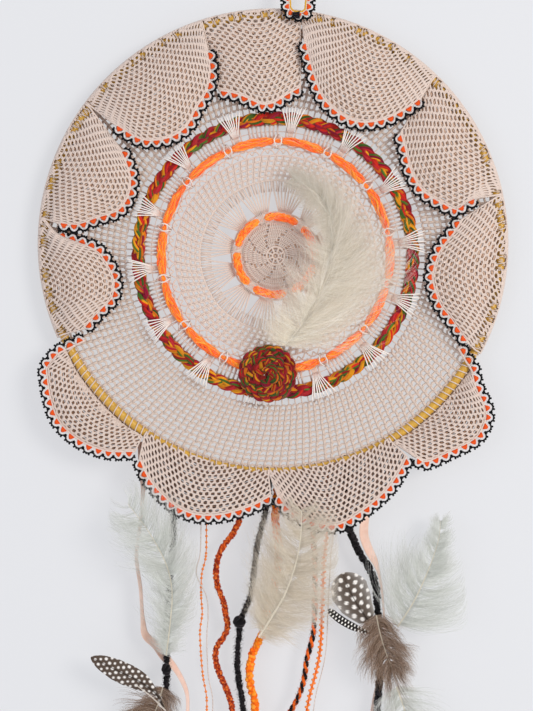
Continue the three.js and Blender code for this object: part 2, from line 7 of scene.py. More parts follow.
import bpy
import numpy as np
from bpy.props import FloatProperty, FloatVectorProperty, PointerProperty
from mathutils import Vector
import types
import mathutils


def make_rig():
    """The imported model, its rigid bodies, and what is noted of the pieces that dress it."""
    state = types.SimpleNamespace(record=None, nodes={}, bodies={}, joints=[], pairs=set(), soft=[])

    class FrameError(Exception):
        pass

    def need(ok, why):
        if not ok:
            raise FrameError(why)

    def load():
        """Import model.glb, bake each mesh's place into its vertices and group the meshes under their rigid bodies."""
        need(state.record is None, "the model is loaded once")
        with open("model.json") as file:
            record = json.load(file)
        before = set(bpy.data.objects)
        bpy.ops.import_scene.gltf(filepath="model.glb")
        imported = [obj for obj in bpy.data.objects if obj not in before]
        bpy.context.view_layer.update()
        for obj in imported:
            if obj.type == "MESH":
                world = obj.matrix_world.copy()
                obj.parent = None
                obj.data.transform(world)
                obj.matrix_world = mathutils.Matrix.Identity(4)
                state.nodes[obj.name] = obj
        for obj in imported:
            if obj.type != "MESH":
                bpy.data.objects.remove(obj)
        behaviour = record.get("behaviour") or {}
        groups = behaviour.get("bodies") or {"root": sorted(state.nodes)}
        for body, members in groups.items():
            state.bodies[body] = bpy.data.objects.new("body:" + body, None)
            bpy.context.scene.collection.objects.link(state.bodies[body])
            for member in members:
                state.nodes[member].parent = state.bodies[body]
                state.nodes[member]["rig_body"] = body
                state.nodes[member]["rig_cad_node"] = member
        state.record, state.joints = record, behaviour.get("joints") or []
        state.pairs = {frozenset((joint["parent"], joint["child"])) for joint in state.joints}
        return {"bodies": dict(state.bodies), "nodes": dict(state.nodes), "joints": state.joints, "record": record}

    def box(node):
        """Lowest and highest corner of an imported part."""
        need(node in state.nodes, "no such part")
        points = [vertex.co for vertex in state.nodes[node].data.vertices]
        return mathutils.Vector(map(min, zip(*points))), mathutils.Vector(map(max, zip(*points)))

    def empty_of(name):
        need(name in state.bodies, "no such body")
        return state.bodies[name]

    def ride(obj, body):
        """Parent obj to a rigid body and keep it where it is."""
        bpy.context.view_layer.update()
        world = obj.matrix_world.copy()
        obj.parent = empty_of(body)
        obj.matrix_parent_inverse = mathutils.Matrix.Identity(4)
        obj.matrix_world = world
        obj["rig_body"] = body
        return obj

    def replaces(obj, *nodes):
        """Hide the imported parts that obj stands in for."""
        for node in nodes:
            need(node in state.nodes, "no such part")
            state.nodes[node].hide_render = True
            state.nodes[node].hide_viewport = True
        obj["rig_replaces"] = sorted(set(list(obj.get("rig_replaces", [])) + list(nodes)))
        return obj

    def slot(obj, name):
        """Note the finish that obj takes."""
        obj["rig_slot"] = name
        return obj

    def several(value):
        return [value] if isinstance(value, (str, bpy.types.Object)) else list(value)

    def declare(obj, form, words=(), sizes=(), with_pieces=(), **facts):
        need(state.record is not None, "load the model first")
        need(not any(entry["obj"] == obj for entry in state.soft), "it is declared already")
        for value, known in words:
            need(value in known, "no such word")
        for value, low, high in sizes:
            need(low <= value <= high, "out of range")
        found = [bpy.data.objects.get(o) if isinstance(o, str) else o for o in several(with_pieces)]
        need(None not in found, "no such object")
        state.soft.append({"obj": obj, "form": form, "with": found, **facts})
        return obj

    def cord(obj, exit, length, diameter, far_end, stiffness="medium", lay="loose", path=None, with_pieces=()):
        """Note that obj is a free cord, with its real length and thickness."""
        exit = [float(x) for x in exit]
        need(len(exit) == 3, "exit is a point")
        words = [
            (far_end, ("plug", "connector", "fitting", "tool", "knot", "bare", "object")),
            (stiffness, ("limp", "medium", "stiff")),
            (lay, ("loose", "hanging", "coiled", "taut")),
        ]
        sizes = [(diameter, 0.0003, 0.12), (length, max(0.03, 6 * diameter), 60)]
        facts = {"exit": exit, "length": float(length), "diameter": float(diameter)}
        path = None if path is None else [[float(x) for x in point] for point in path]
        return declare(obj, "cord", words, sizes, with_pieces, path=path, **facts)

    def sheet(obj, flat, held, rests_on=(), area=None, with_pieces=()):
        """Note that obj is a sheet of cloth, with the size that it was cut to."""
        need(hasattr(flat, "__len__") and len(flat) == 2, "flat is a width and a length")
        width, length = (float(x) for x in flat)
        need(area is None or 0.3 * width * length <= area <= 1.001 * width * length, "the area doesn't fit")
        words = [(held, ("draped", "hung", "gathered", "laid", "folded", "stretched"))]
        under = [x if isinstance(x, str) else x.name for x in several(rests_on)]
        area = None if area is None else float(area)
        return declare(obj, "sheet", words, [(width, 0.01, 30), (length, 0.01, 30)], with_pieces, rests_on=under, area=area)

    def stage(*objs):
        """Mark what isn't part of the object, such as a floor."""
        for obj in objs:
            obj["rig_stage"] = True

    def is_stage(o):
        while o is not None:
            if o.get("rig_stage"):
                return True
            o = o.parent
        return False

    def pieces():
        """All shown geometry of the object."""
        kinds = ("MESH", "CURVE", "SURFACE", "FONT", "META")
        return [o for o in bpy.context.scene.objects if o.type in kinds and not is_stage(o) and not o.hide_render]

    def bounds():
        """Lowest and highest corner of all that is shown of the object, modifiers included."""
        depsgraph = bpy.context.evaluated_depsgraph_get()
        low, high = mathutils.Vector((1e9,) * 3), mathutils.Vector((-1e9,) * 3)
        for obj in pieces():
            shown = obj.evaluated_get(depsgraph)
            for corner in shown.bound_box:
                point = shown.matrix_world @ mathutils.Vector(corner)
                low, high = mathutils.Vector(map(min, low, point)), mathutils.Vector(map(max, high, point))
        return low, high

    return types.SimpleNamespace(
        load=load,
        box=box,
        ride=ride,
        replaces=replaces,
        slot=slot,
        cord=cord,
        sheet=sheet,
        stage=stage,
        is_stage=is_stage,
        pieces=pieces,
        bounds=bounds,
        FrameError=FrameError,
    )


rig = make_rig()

bl_info = {
    "name": "Crocheted Dream Catcher",
    "version": (1, 0, 0),
    "blender": (4, 5, 0),
    "location": "View3D > Sidebar > Dream Catcher",
    "description": "Builds a crocheted dream catcher around its packed frame",
    "category": "Add Mesh",
}

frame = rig.load()
CAD_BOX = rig.bounds()
CORE_LOW, CORE_HIGH = (np.array(corner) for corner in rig.box("hoop_core"))
HOOP_CENTRE = (CORE_LOW + CORE_HIGH) / 2
MM = 0.001

# ---------- Shared measures, in millimetres from the hoop's centre (x right, y back, z up) ----------
HOOP_R = 147.0            # centreline radius of the ring
WRAP_R = 3.0              # outside radius of the ribbon-wrapped tube
WEB_R = 143.4             # the doily ground ends here
WEB_Y = 0.5               # middle of the ground's thickness
DOILY = np.array([1.6, 0.0, -7.7])   # centre of the crochet pattern
FRONT = np.array([0.0, -1.0, 0.0])
MEDALLION = (6.4, 9.6, 12.7, 15.6, 18.4, 21.4)   # radii of its rounds
SPOKES = (28.6, 49.2)     # radii between which the long threads run
MESH = (48.8, 64.6)       # the small square mesh, as far as its round of loops
ORANGE_R = (25.0, 73.5)   # centrelines of the two rings of roving
BAND = (76.0, 84.6)       # the posts between the outer orange ring and the plait
PLAIT_R = 88.3
NET_FROM = 97.0           # the open net begins here, outside the combs
LOBE_CLEAR = WRAP_R + 1.1  # the lobes' lace lies this far from the tube's centreline
EDGE_INSET = 3.0          # from the edging's centre line back to the lace
FAN_COUNT = 14            # combs, and dashes of the outer orange ring
FAN_PHASE = math.radians(7.0)
DASH_PHASE = math.radians(1.2)


# ---------- Colour and node helpers ----------
def linear(hex_colour):
    """An sRGB hex colour as linear red, green and blue."""
    channels = [int(hex_colour[i:i + 2], 16) / 255 for i in (1, 3, 5)]
    return tuple(c / 12.92 if c <= 0.04045 else ((c + 0.055) / 1.055) ** 2.4 for c in channels)


def add_node(tree, kind, settings=None, inputs=None, links=None):
    """Adds a node, sets its properties and sockets, and links other nodes' outputs to it."""
    node = tree.nodes.new(kind)
    for key, value in (settings or {}).items():
        setattr(node, key, value)
    for key, value in (inputs or {}).items():
        node.inputs[key].default_value = value
    for key, source in (links or {}).items():
        tree.links.new(source, node.inputs[key])
    return node


def new_material(name):
    """An empty node material with its output node."""
    material = bpy.data.materials.new(name)
    material.use_nodes = True
    material.node_tree.nodes.clear()
    output = add_node(material.node_tree, "ShaderNodeOutputMaterial")
    return material, material.node_tree, output


def thread_material(name, colour=None, light=0.10, speck_mm=1.2, fibre_mm=0.25, roughness=0.85, sheen=0.35,
                    bump=0.35, translucent=0.0, clear=0.0, glow=0.0):
    """Spun fibre. Its colour drifts a little along the thread, and fine fibres break up the highlight.
    With no colour it takes its colour from the tint that its threads carry: their dye, and for some pieces painted
    shade."""
    material, tree, output = new_material(name)
    place = add_node(tree, "ShaderNodeTexCoord")
    drift = add_node(tree, "ShaderNodeTexNoise", inputs={"Scale": 1 / (speck_mm * MM), "Detail": 3.0},
                     links={"Vector": place.outputs["Object"]})
    fibre = add_node(tree, "ShaderNodeTexNoise", inputs={"Scale": 1 / (fibre_mm * MM), "Detail": 2.0},
                     links={"Vector": place.outputs["Object"]})
    level = add_node(tree, "ShaderNodeMapRange", inputs={"To Min": 1 - light, "To Max": 1 + light},
                     links={"Value": drift.outputs["Fac"]})
    grey = add_node(tree, "ShaderNodeCombineColor", links={
        "Red": level.outputs["Result"], "Green": level.outputs["Result"], "Blue": level.outputs["Result"]})
    mix = add_node(tree, "ShaderNodeMix", {"data_type": "RGBA", "blend_type": "MULTIPLY"})
    mix.inputs[0].default_value = 1.0
    tree.links.new(grey.outputs["Color"], mix.inputs[7])
    if colour is None:
        dye = add_node(tree, "ShaderNodeAttribute", {"attribute_name": "tint"})
        tree.links.new(dye.outputs["Color"], mix.inputs[6])
    else:
        mix.inputs[6].default_value = (*colour, 1)
    relief = add_node(tree, "ShaderNodeBump", inputs={"Strength": bump, "Distance": 0.15 * MM},
                      links={"Height": fibre.outputs["Fac"]})
    shader = add_node(tree, "ShaderNodeBsdfPrincipled",
                      inputs={"Roughness": roughness, "Sheen Weight": sheen, "Sheen Roughness": 0.5,
                              "Specular IOR Level": 0.12},
                      links={"Base Color": mix.outputs[2], "Normal": relief.outputs["Normal"]})
    if glow:
        # stands for the light that bounces many times inside loose fibre
        tree.links.new(mix.outputs[2], shader.inputs["Emission Color"])
        shader.inputs["Emission Strength"].default_value = glow
    surface = shader.outputs["BSDF"]
    for share, kind in ((translucent, "ShaderNodeBsdfTranslucent"), (clear, "ShaderNodeBsdfTransparent")):
        if share:
            other = add_node(tree, kind)
            if kind == "ShaderNodeBsdfTranslucent":
                tree.links.new(mix.outputs[2], other.inputs["Color"])
            blend = add_node(tree, "ShaderNodeMixShader", inputs={"Fac": share})
            tree.links.new(surface, blend.inputs[1])
            tree.links.new(other.outputs["BSDF"], blend.inputs[2])
            surface = blend.outputs["Shader"]
    tree.links.new(surface, output.inputs["Surface"])
    return material


def satin_material(name, colour, shade):
    """Woven satin ribbon. Long floating threads give a soft stripe of gloss and show fine ribs."""
    material, tree, output = new_material(name)
    place = add_node(tree, "ShaderNodeTexCoord")
    ribs = add_node(tree, "ShaderNodeTexNoise", inputs={"Scale": 1 / (0.5 * MM), "Detail": 2.0},
                    links={"Vector": place.outputs["Object"]})
    drift = add_node(tree, "ShaderNodeTexNoise", inputs={"Scale": 1 / (4 * MM)},
                     links={"Vector": place.outputs["Object"]})
    mix = add_node(tree, "ShaderNodeMix", {"data_type": "RGBA"}, links={0: drift.outputs["Fac"]})
    mix.inputs[6].default_value = (*shade, 1)
    mix.inputs[7].default_value = (*colour, 1)
    relief = add_node(tree, "ShaderNodeBump", inputs={"Strength": 0.25, "Distance": 0.1 * MM},
                      links={"Height": ribs.outputs["Fac"]})
    shader = add_node(tree, "ShaderNodeBsdfPrincipled",
                      inputs={"Roughness": 0.36, "Sheen Weight": 0.4, "Specular IOR Level": 0.6},
                      links={"Base Color": mix.outputs[2], "Normal": relief.outputs["Normal"]})
    tree.links.new(shader.outputs["BSDF"], output.inputs["Surface"])
    return material


def steel_material():
    """Drawn steel wire under the ribbon. Its brushed skin spreads the highlight."""
    material, tree, output = new_material("drawn_steel_wire")
    place = add_node(tree, "ShaderNodeTexCoord")
    grain = add_node(tree, "ShaderNodeTexNoise", inputs={"Scale": 1 / (0.6 * MM)},
                     links={"Vector": place.outputs["Object"]})
    rough = add_node(tree, "ShaderNodeMapRange", inputs={"To Min": 0.3, "To Max": 0.5},
                     links={"Value": grain.outputs["Fac"]})
    shader = add_node(tree, "ShaderNodeBsdfPrincipled",
                      inputs={"Base Color": (*linear("#8f9296"), 1), "Metallic": 1.0},
                      links={"Roughness": rough.outputs["Result"]})
    tree.links.new(shader.outputs["BSDF"], output.inputs["Surface"])
    return material


MATERIALS = {}


def material(name):
    """The named finish, made once."""
    if name not in MATERIALS:
        colours = bpy.context.scene.dream_catcher_colours
        makers = {
            # matt mercerised cotton: smooth strands with a faint sheen
            "mercerised_cotton_beige": lambda: thread_material(
                name, tuple(colours.lace), light=0.07, sheen=0.25),
            # dyed wool: each ply keeps its own dye, and a halo of fibres softens its edges
            "dyed_wool": lambda: thread_material(
                name, light=0.22, speck_mm=1.6, roughness=0.95, sheen=0.12, bump=0.6),
            # dyed cotton crochet: crisp small stitches with a low gloss
            "dyed_cotton_crochet": lambda: thread_material(name, light=0.14, speck_mm=0.8, sheen=0.06),
            # marabou down: soft threads that let light through, with a painted glow for the light that bounces inside
            # the fluff
            "marabou_down": lambda: thread_material(
                name, light=0.06, speck_mm=6, roughness=0.9, sheen=0.5, bump=0.0, translucent=0.45,
                clear=0.42, glow=0.28),
            # painted shade: crochet darkened to stand for the shade it lies in, behind the lobes' and the medallion's
            # holes and in the open net
            "cotton_in_painted_shade": lambda: thread_material(name, light=0.12, sheen=0.05),
            # loose orange roving: long fibres, some yellower, with a painted glow for the light scattered inside it
            "wool_roving": lambda: thread_material(
                name, light=0.16, speck_mm=2.5, roughness=0.9, sheen=0.6, bump=0.5, glow=0.12),
            # firm feather vane: close barbs with a dull gloss
            "feather_vane": lambda: thread_material(
                name, light=0.10, speck_mm=1.5, fibre_mm=0.3, roughness=0.6, sheen=0.2, bump=0.4),
            "satin_ribbon_mustard": lambda: satin_material(
                name, tuple(colours.hoop_ribbon), linear("#b98a2a")),
            "satin_ribbon_peach": lambda: satin_material(name, tuple(colours.ribbon), linear("#e9b79d")),
            "drawn_steel_wire": steel_material,
        }
        MATERIALS[name] = makers[name]()
    return MATERIALS[name]


# ---------- Mesh helpers ----------
def mesh_object(name, points, faces, tint=None, finish=None):
    """A smooth mesh object from points in millimetres and a list of face arrays, one per corner count."""
    mesh = bpy.data.meshes.new(name)
    corners = np.concatenate([f.ravel() for f in faces]).astype(np.int32)
    sizes = np.concatenate([np.full(len(f), f.shape[1]) for f in faces])
    starts = np.concatenate([[0], np.cumsum(sizes)[:-1]]).astype(np.int32)
    mesh.vertices.add(len(points))
    mesh.vertices.foreach_set("co", (np.asarray(points) * MM + HOOP_CENTRE).astype(np.float32).ravel())
    mesh.loops.add(len(corners))
    mesh.loops.foreach_set("vertex_index", corners)
    mesh.polygons.add(len(starts))
    mesh.polygons.foreach_set("loop_start", starts)
    mesh.polygons.foreach_set("use_smooth", np.ones(len(starts), bool))
    mesh.update(calc_edges=True)
    if tint is not None:
        layer = mesh.color_attributes.new("tint", "FLOAT_COLOR", "POINT")
        rgba = np.ones((len(points), 4), np.float32)
        rgba[:, :3] = tint
        layer.data.foreach_set("color", rgba.ravel())
    if finish:
        mesh.materials.append(material(finish))
    made = bpy.data.objects.new(name, mesh)
    bpy.context.collection.objects.link(made)
    return made


def put(made, body, slot, node=None):
    """Puts a piece on its body and in its colour slot, in place of the plain node that it stands for."""
    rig.ride(made, body)
    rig.slot(made, slot)
    if node:
        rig.replaces(made, node)
    return made


class Threads:
    """Gathers round threads, many alike at a time, and builds one mesh from them."""

    def __init__(self):
        self.points, self.faces, self.tints, self.count = [], {}, [], 0

    def add(self, paths, radius, tint=(1, 1, 1), sides=5, closed=False):
        """paths is (threads, points, 3) in mm, radius a number or an array that fits (threads, points)."""
        paths = np.asarray(paths, float)
        if paths.ndim == 2:
            paths = paths[None]
        many, length = paths.shape[:2]
        along = np.roll(paths, -1, 1) - np.roll(paths, 1, 1) if closed else np.gradient(paths, axis=1)
        along /= np.linalg.norm(along, axis=2, keepdims=True) + 1e-12
        side = np.cross(along, np.array([0.05, -1.0, 0.08]))
        side /= np.linalg.norm(side, axis=2, keepdims=True) + 1e-12
        up = np.cross(side, along)
        turn = 2 * np.pi * np.arange(sides) / sides
        r = np.broadcast_to(np.asarray(radius, float), (many, length))[..., None, None]
        rings = paths[:, :, None] + r * (np.cos(turn)[:, None] * side[:, :, None]
                                         + np.sin(turn)[:, None] * up[:, :, None])
        index = self.count + np.arange(many * length * sides).reshape(many, length, sides)
        after = np.roll(index, -1, 2)
        if closed:
            a, b, c, d = index, np.roll(index, -1, 1), np.roll(after, -1, 1), after
        else:
            a, b, c, d = index[:, :-1], index[:, 1:], after[:, 1:], after[:, :-1]
            self.keep(index[:, 0])
            self.keep(index[:, -1, ::-1])
        self.keep(np.stack([a, b, c, d], -1).reshape(-1, 4))
        self.points.append(rings.reshape(-1, 3))
        tint = np.asarray(tint, float)
        if tint.ndim == 2:
            tint = tint[:, None]
        tint = np.broadcast_to(tint, (many, length, 3))
        self.tints.append(tint[:, :, None].repeat(sides, 2).reshape(-1, 3))
        self.count += many * length * sides

    def keep(self, faces):
        self.faces.setdefault(faces.shape[1], []).append(faces)

    def balls(self, centres, radius, tint, rings=4, sides=6):
        """Small knots, as stacks of rings along the view's depth."""
        centres = np.asarray(centres, float).reshape(-1, 3)
        turn = np.linspace(0.12, 0.88, rings) * np.pi
        r = np.broadcast_to(np.asarray(radius, float).reshape(-1, 1), (len(centres), 1))
        paths = centres[:, None] + FRONT * (r * np.cos(turn))[..., None]
        # a thread that points along the depth needs its own sides
        spin = 2 * np.pi * np.arange(sides) / sides
        ring = np.stack([np.cos(spin), np.zeros(sides), np.sin(spin)], -1)
        points = paths[:, :, None] + (r * np.sin(turn))[..., None, None] * ring
        index = self.count + np.arange(len(centres) * rings * sides).reshape(-1, rings, sides)
        after = np.roll(index, -1, 2)
        quads = np.stack([index[:, :-1], after[:, :-1], after[:, 1:], index[:, 1:]], -1)
        self.keep(quads[..., ::-1].reshape(-1, 4))
        self.keep(index[:, 0])
        self.keep(index[:, -1, ::-1])
        self.points.append(points.reshape(-1, 3))
        tint = np.broadcast_to(np.asarray(tint, float).reshape(-1, 3), (len(centres), 3))
        self.tints.append(tint.repeat(rings * sides, 0))
        self.count += len(centres) * rings * sides

    def build(self, name, finish, tinted=True):
        faces = [np.concatenate(group) for group in self.faces.values()]
        tint = np.concatenate(self.tints) if tinted else None
        return mesh_object(name, np.concatenate(self.points), faces, tint, finish)

    def put(self, name, finish, body, slot, node=None, tinted=True):
        """Builds the threads as one piece and puts it in its place."""
        return put(self.build(name, finish, tinted), body, slot, node)

    def lace(self, name, node=None):
        """Builds the threads as undyed crochet on the hoop."""
        return self.put(name, "mercerised_cotton_beige", "hoop", "crochet_lace", node, tinted=False)


def smooth_path(points, step=None, count=None):
    """Even points along a centripetal Catmull-Rom curve through points."""
    p = np.asarray(points, float)
    p = np.concatenate([[2 * p[0] - p[1]], p, [2 * p[-1] - p[-2]]])
    dense = []
    for p0, p1, p2, p3 in zip(p[:-3], p[1:-2], p[2:-1], p[3:]):
        t0 = 0.0
        t1 = t0 + np.linalg.norm(p1 - p0) ** 0.5
        t2 = t1 + np.linalg.norm(p2 - p1) ** 0.5
        t3 = t2 + np.linalg.norm(p3 - p2) ** 0.5
        t = np.linspace(t1, t2, 16, endpoint=False)[:, None]
        a1 = (t1 - t) / (t1 - t0) * p0 + (t - t0) / (t1 - t0) * p1
        a2 = (t2 - t) / (t2 - t1) * p1 + (t - t1) / (t2 - t1) * p2
        a3 = (t3 - t) / (t3 - t2) * p2 + (t - t2) / (t3 - t2) * p3
        b1 = (t2 - t) / (t2 - t0) * a1 + (t - t0) / (t2 - t0) * a2
        b2 = (t3 - t) / (t3 - t1) * a2 + (t - t1) / (t3 - t1) * a3
        dense.append((t2 - t) / (t2 - t1) * b1 + (t - t1) / (t2 - t1) * b2)
    dense = np.concatenate(dense + [p[-2:-1]])
    run = np.concatenate([[0], np.cumsum(np.linalg.norm(np.diff(dense, axis=0), axis=1))])
    count = count or max(2, int(round(run[-1] / step)) + 1)
    at = np.linspace(0, run[-1], count)
    return np.stack([np.interp(at, run, dense[:, k]) for k in range(3)], -1)


def path_length(path):
    """Length of a path through its points."""
    return float(np.linalg.norm(np.diff(path, axis=0), axis=1).sum())


def frames_along(path):
    """Unit vectors along, across and in front of a path."""
    along = np.gradient(path, axis=0)
    along /= np.linalg.norm(along, axis=1, keepdims=True)
    across = np.cross(along, FRONT)
    across /= np.linalg.norm(across, axis=1, keepdims=True)
    return along, across, np.cross(across, along)


def polar(radius, clock, y=WEB_Y, centre=DOILY):
    """Points at a radius and a clockwise angle from the top, about a centre."""
    radius, clock = np.broadcast_arrays(radius, clock)
    y = np.broadcast_to(y, radius.shape)
    return np.stack([centre[0] + radius * np.sin(clock), y, centre[2] + radius * np.cos(clock)], -1)


def tints(hexes):
    """Linear colours of several hex dyes, one row each."""
    return np.array([linear(h) for h in hexes])


# ---------- Settings ----------
class DreamCatcherSizes(bpy.types.PropertyGroup):
    thread: FloatProperty(name="Thread", description="Diameter of the crochet thread", default=0.00112,
                          unit="LENGTH", precision=5)
    net_cell: FloatProperty(name="Net cell", description="Mesh size of the open outer net", default=0.0043,
                            unit="LENGTH", precision=4)
    lobe_cell: FloatProperty(name="Lobe cell", description="Width of one arch of the lobes' net",
                             default=0.0042, unit="LENGTH", precision=4)
    lobe_row: FloatProperty(name="Lobe row", description="Height of one row of the lobes' net",
                            default=0.0029, unit="LENGTH", precision=4)
    shell_pitch: FloatProperty(name="Shell pitch", description="Spacing of the shells along the edging",
                               default=0.0069, unit="LENGTH", precision=4)
    plait_pitch: FloatProperty(name="Plait pitch", description="Length of one full turn of a plait strand",
                               default=0.026, unit="LENGTH", precision=4)
    wrap_pitch: FloatProperty(name="Wrap pitch", description="Advance of the hoop's ribbon in one turn",
                              default=0.0048, unit="LENGTH", precision=4)


class DreamCatcherColours(bpy.types.PropertyGroup):
    lace: FloatVectorProperty(name="Lace", description="Colour of the crochet thread", subtype="COLOR",
                              default=linear("#dccabe"))
    hoop_ribbon: FloatVectorProperty(name="Hoop ribbon", description="Satin round the hoop", subtype="COLOR",
                                     default=linear("#dfae30"))
    ribbon: FloatVectorProperty(name="Hanging ribbon", description="Satin of the two hanging ribbons",
                                subtype="COLOR", default=linear("#f3d8ca"))
    wall: FloatVectorProperty(name="Wall", description="Colour of the wall and floor", subtype="COLOR",
                              default=linear("#eaebee"))


def sizes(name):
    """One size setting, in millimetres."""
    return getattr(bpy.context.scene.dream_catcher_sizes, name) / MM


def thread_r():
    """Radius of the crochet thread, in millimetres."""
    return sizes("thread") / 2


# ---------- Lobes: the surface that net and edging follow ----------
# start, end: clock angles of the two valleys. edge: the edging's centre line, as x and z.
# tuck: degrees at which the lace leaves the hoop's tube at its start, middle and end, where 0 is the tube's
# outside and 90 its front. over: where on the tube the lace begins, if not behind its outside.
# depth: how far forward the edge stands at its start, middle and end. crown: how far the lace puffs.
# hangs: the lobe hangs outside the hoop. lead, tail: the edging runs on past the lace.
LOBES = {
    "a": dict(start=7, end=44, tuck=(90, 90, 90), depth=(9.5, 10, 9.5), crown=8, edge=[
        (17.4, 127.7), (23, 105.7), (28.7, 91.1), (40, 79.9), (52.2, 74.1), (65.8, 74.1), (79.2, 78.7),
        (91.5, 86.1), (96.1, 89.9)]),
    "b": dict(start=44, end=78, tuck=(90, 90, 90), depth=(7, 8.5, 8), crown=8, edge=[
        (78.5, 69.5), (81.2, 59.6), (84.8, 45.1), (92.6, 31.6), (106.1, 22.6), (117.3, 18.1), (124, 22.6),
        (130.9, 26)]),
    "c": dict(start=78, end=118, tuck=(90, 90, 90), depth=(7, 8, 7.5), crown=8, edge=[
        (117.3, 16), (114, 10.3), (103.8, -3.2), (99.3, -15.5), (98.3, -22.4), (103.8, -40.4),
        (110.6, -49.3), (121.8, -65.1)]),
    "d": dict(start=121.5, end=149, tuck=(10, 30, 58), depth=(4.5, 9, 10), crown=5, hangs=True, lead=[
        (121.8, -65.1), (126.4, -73)], edge=[
        (131, -80.5), (132, -87), (134.1, -94.1), (137.5, -101), (139.3, -109.9), (137.5, -117.8),
        (131.9, -126.7), (115.1, -135.8), (96.1, -143.1), (89.3, -139.3)]),
    "e": dict(start=149, end=181, over=115, tuck=(75, 75, 75), depth=(12, 14, 13), crown=4, hangs=True,
              edge=[
        (88.1, -138), (84.3, -145.4), (77, -156.7), (66.7, -167), (55.4, -175.4), (42.9, -182.4),
        (30.3, -182.4), (16.1, -177.3), (5.8, -170.2), (0.6, -163)]),
    "f": dict(start=181, end=214, over=115, tuck=(75, 75, 75), depth=(13, 14, 12), crown=4, hangs=True,
              edge=[
        (0, -164), (-9.3, -169.2), (-20.7, -173.3), (-34.2, -176.4), (-48.5, -176.4), (-60.9, -172.1),
        (-72.3, -163), (-82.7, -150.6), (-87.8, -139.3)]),
    "g": dict(start=214, end=243, tuck=(50, 12, 50), depth=(10, 9, 4.5), crown=5, hangs=True, tail=[
        (-131, -63.4), (-122, -59)], edge=[
        (-88.3, -136.4), (-105.1, -136.4), (-119.4, -132), (-131.6, -124.2), (-140.5, -114.1),
        (-145.1, -100.9), (-147.6, -86.4), (-148.2, -79.8), (-145.4, -74.6), (-140, -68)]),
    "h": dict(start=246.4, end=276, tuck=(90, 90, 90), depth=(8.6, 8, 5.6), crown=8, edge=[
        (-118.3, -56.5), (-108.3, -45.1), (-100.6, -37.4), (-98.3, -29.7), (-98.3, -23.2), (-100.6, -16.5),
        (-105.1, -8.8), (-109.6, -3.2), (-115, 0.1), (-121.6, 2.6), (-131.6, 5.8), (-137.3, 7.9)]),
    "i": dict(start=276, end=306.8, tuck=(90, 90, 90), depth=(8.4, 8.5, 8), crown=8, edge=[
        (-137.3, 9.7), (-125.1, 8.6), (-111.6, 13), (-98.3, 17.4), (-92.8, 22.6), (-89, 29.7),
        (-87.7, 36.3), (-87.7, 43.2), (-89.6, 49.6), (-92.2, 56.3), (-94.4, 60.7)]),
    "j": dict(start=306.8, end=342, tuck=(90, 90, 90), depth=(9.5, 10, 9.5), crown=8, edge=[
        (-102.2, 72.9), (-93.9, 67.4), (-86.1, 63.2), (-78.8, 61.9), (-65.1, 64), (-52.9, 71.8),
        (-46.1, 84), (-39.5, 95.2), (-36.7, 109.6), (-38.7, 123.1)]),
    "k": dict(start=342, end=367, tuck=(90, 90, 90), depth=(6.5, 8, 6.5), crown=6, edge=[
        (-35, 94.5), (-26.4, 92.8), (-19.3, 90.3), (-12.2, 87), (-6.4, 85.1), (1.7, 86.6), (10.7, 92.2),
        (19, 97)]),
}


def ease3(ends, u):
    """Runs from the first value to the middle one and on to the last, softly."""
    first = np.clip(u / 0.25, 0, 1)
    last = np.clip((u - 0.75) / 0.25, 0, 1)
    first = first * first * (3 - 2 * first)
    last = last * last * (3 - 2 * last)
    return ends[0] + (ends[1] - ends[0]) * first + (ends[2] - ends[1]) * last


def edge_line(lobe, inset, count=241):
    """The edging's centre line as even points, moved inset towards the lace."""
    line = smooth_path([(x, 0, z) for x, z in lobe["edge"]], count=count)
    along = np.gradient(line, axis=0)
    along /= np.linalg.norm(along, axis=1, keepdims=True)
    side = np.stack([-along[:, 2], np.zeros(count), along[:, 0]], -1)
    line = line + side * inset * (-1 if lobe.get("hangs") else 1)
    line[:, 1] = -ease3(lobe["depth"], np.linspace(0, 1, count))
    return line


def lobe_surface(lobe, u, v):
    """Points of the lobe's lace: u runs from valley to valley, v from the hoop to the edging."""
    clock = np.radians(lobe["start"] + 0.2 + (lobe["end"] - lobe["start"] - 0.4) * u)
    tuck = np.radians(ease3(lobe["tuck"], u))
    wrap_from = math.radians(lobe.get("over", -35))
    way = -1 if "over" in lobe else 1
    line = lobe["lace_edge"]
    at = np.linspace(0, 1, len(line))
    end = np.stack([np.interp(u, at, line[:, k]) for k in range(3)], -1)
    r = HOOP_R + LOBE_CLEAR * np.cos(tuck)
    start = np.stack([r * np.sin(clock), -LOBE_CLEAR * np.sin(tuck), r * np.cos(clock)], -1)
    wrap = LOBE_CLEAR * np.abs(tuck - wrap_from)
    free = np.linalg.norm(end - start, axis=-1) + 1e-6
    run = v * (wrap + free)
    turn = wrap_from + way * np.minimum(run, wrap) / LOBE_CLEAR
    round_r = HOOP_R + LOBE_CLEAR * np.cos(turn)
    on_tube = np.stack([round_r * np.sin(clock), -LOBE_CLEAR * np.sin(turn), round_r * np.cos(clock)], -1)
    s = np.clip((run - wrap) / free, 0, 1)[..., None]
    puff = lobe["crown"] * np.sin(np.pi * s[..., 0]) * np.sin(np.pi * u) ** 0.7
    sheet = start + (end - start) * s + FRONT * puff[..., None]
    return np.where((run <= wrap)[..., None], on_tube, sheet)


def ready_lobes():
    """Works out where each lobe's lace ends and where its edging runs."""
    for lobe in LOBES.values():
        lobe["lace_edge"] = edge_line(lobe, EDGE_INSET)
        lobe["edging"] = edge_line(lobe, 0)


def in_runs(threads, path, kept, radius, sides=4, tint=(1, 1, 1)):
    """Adds the stretches of a path where kept holds."""
    change = np.flatnonzero(np.diff(kept.astype(int))) + 1
    for piece in np.split(np.arange(len(path)), change):
        if kept[piece[0]] and len(piece) > 3:
            threads.add(path[piece], radius, tint, sides=sides)


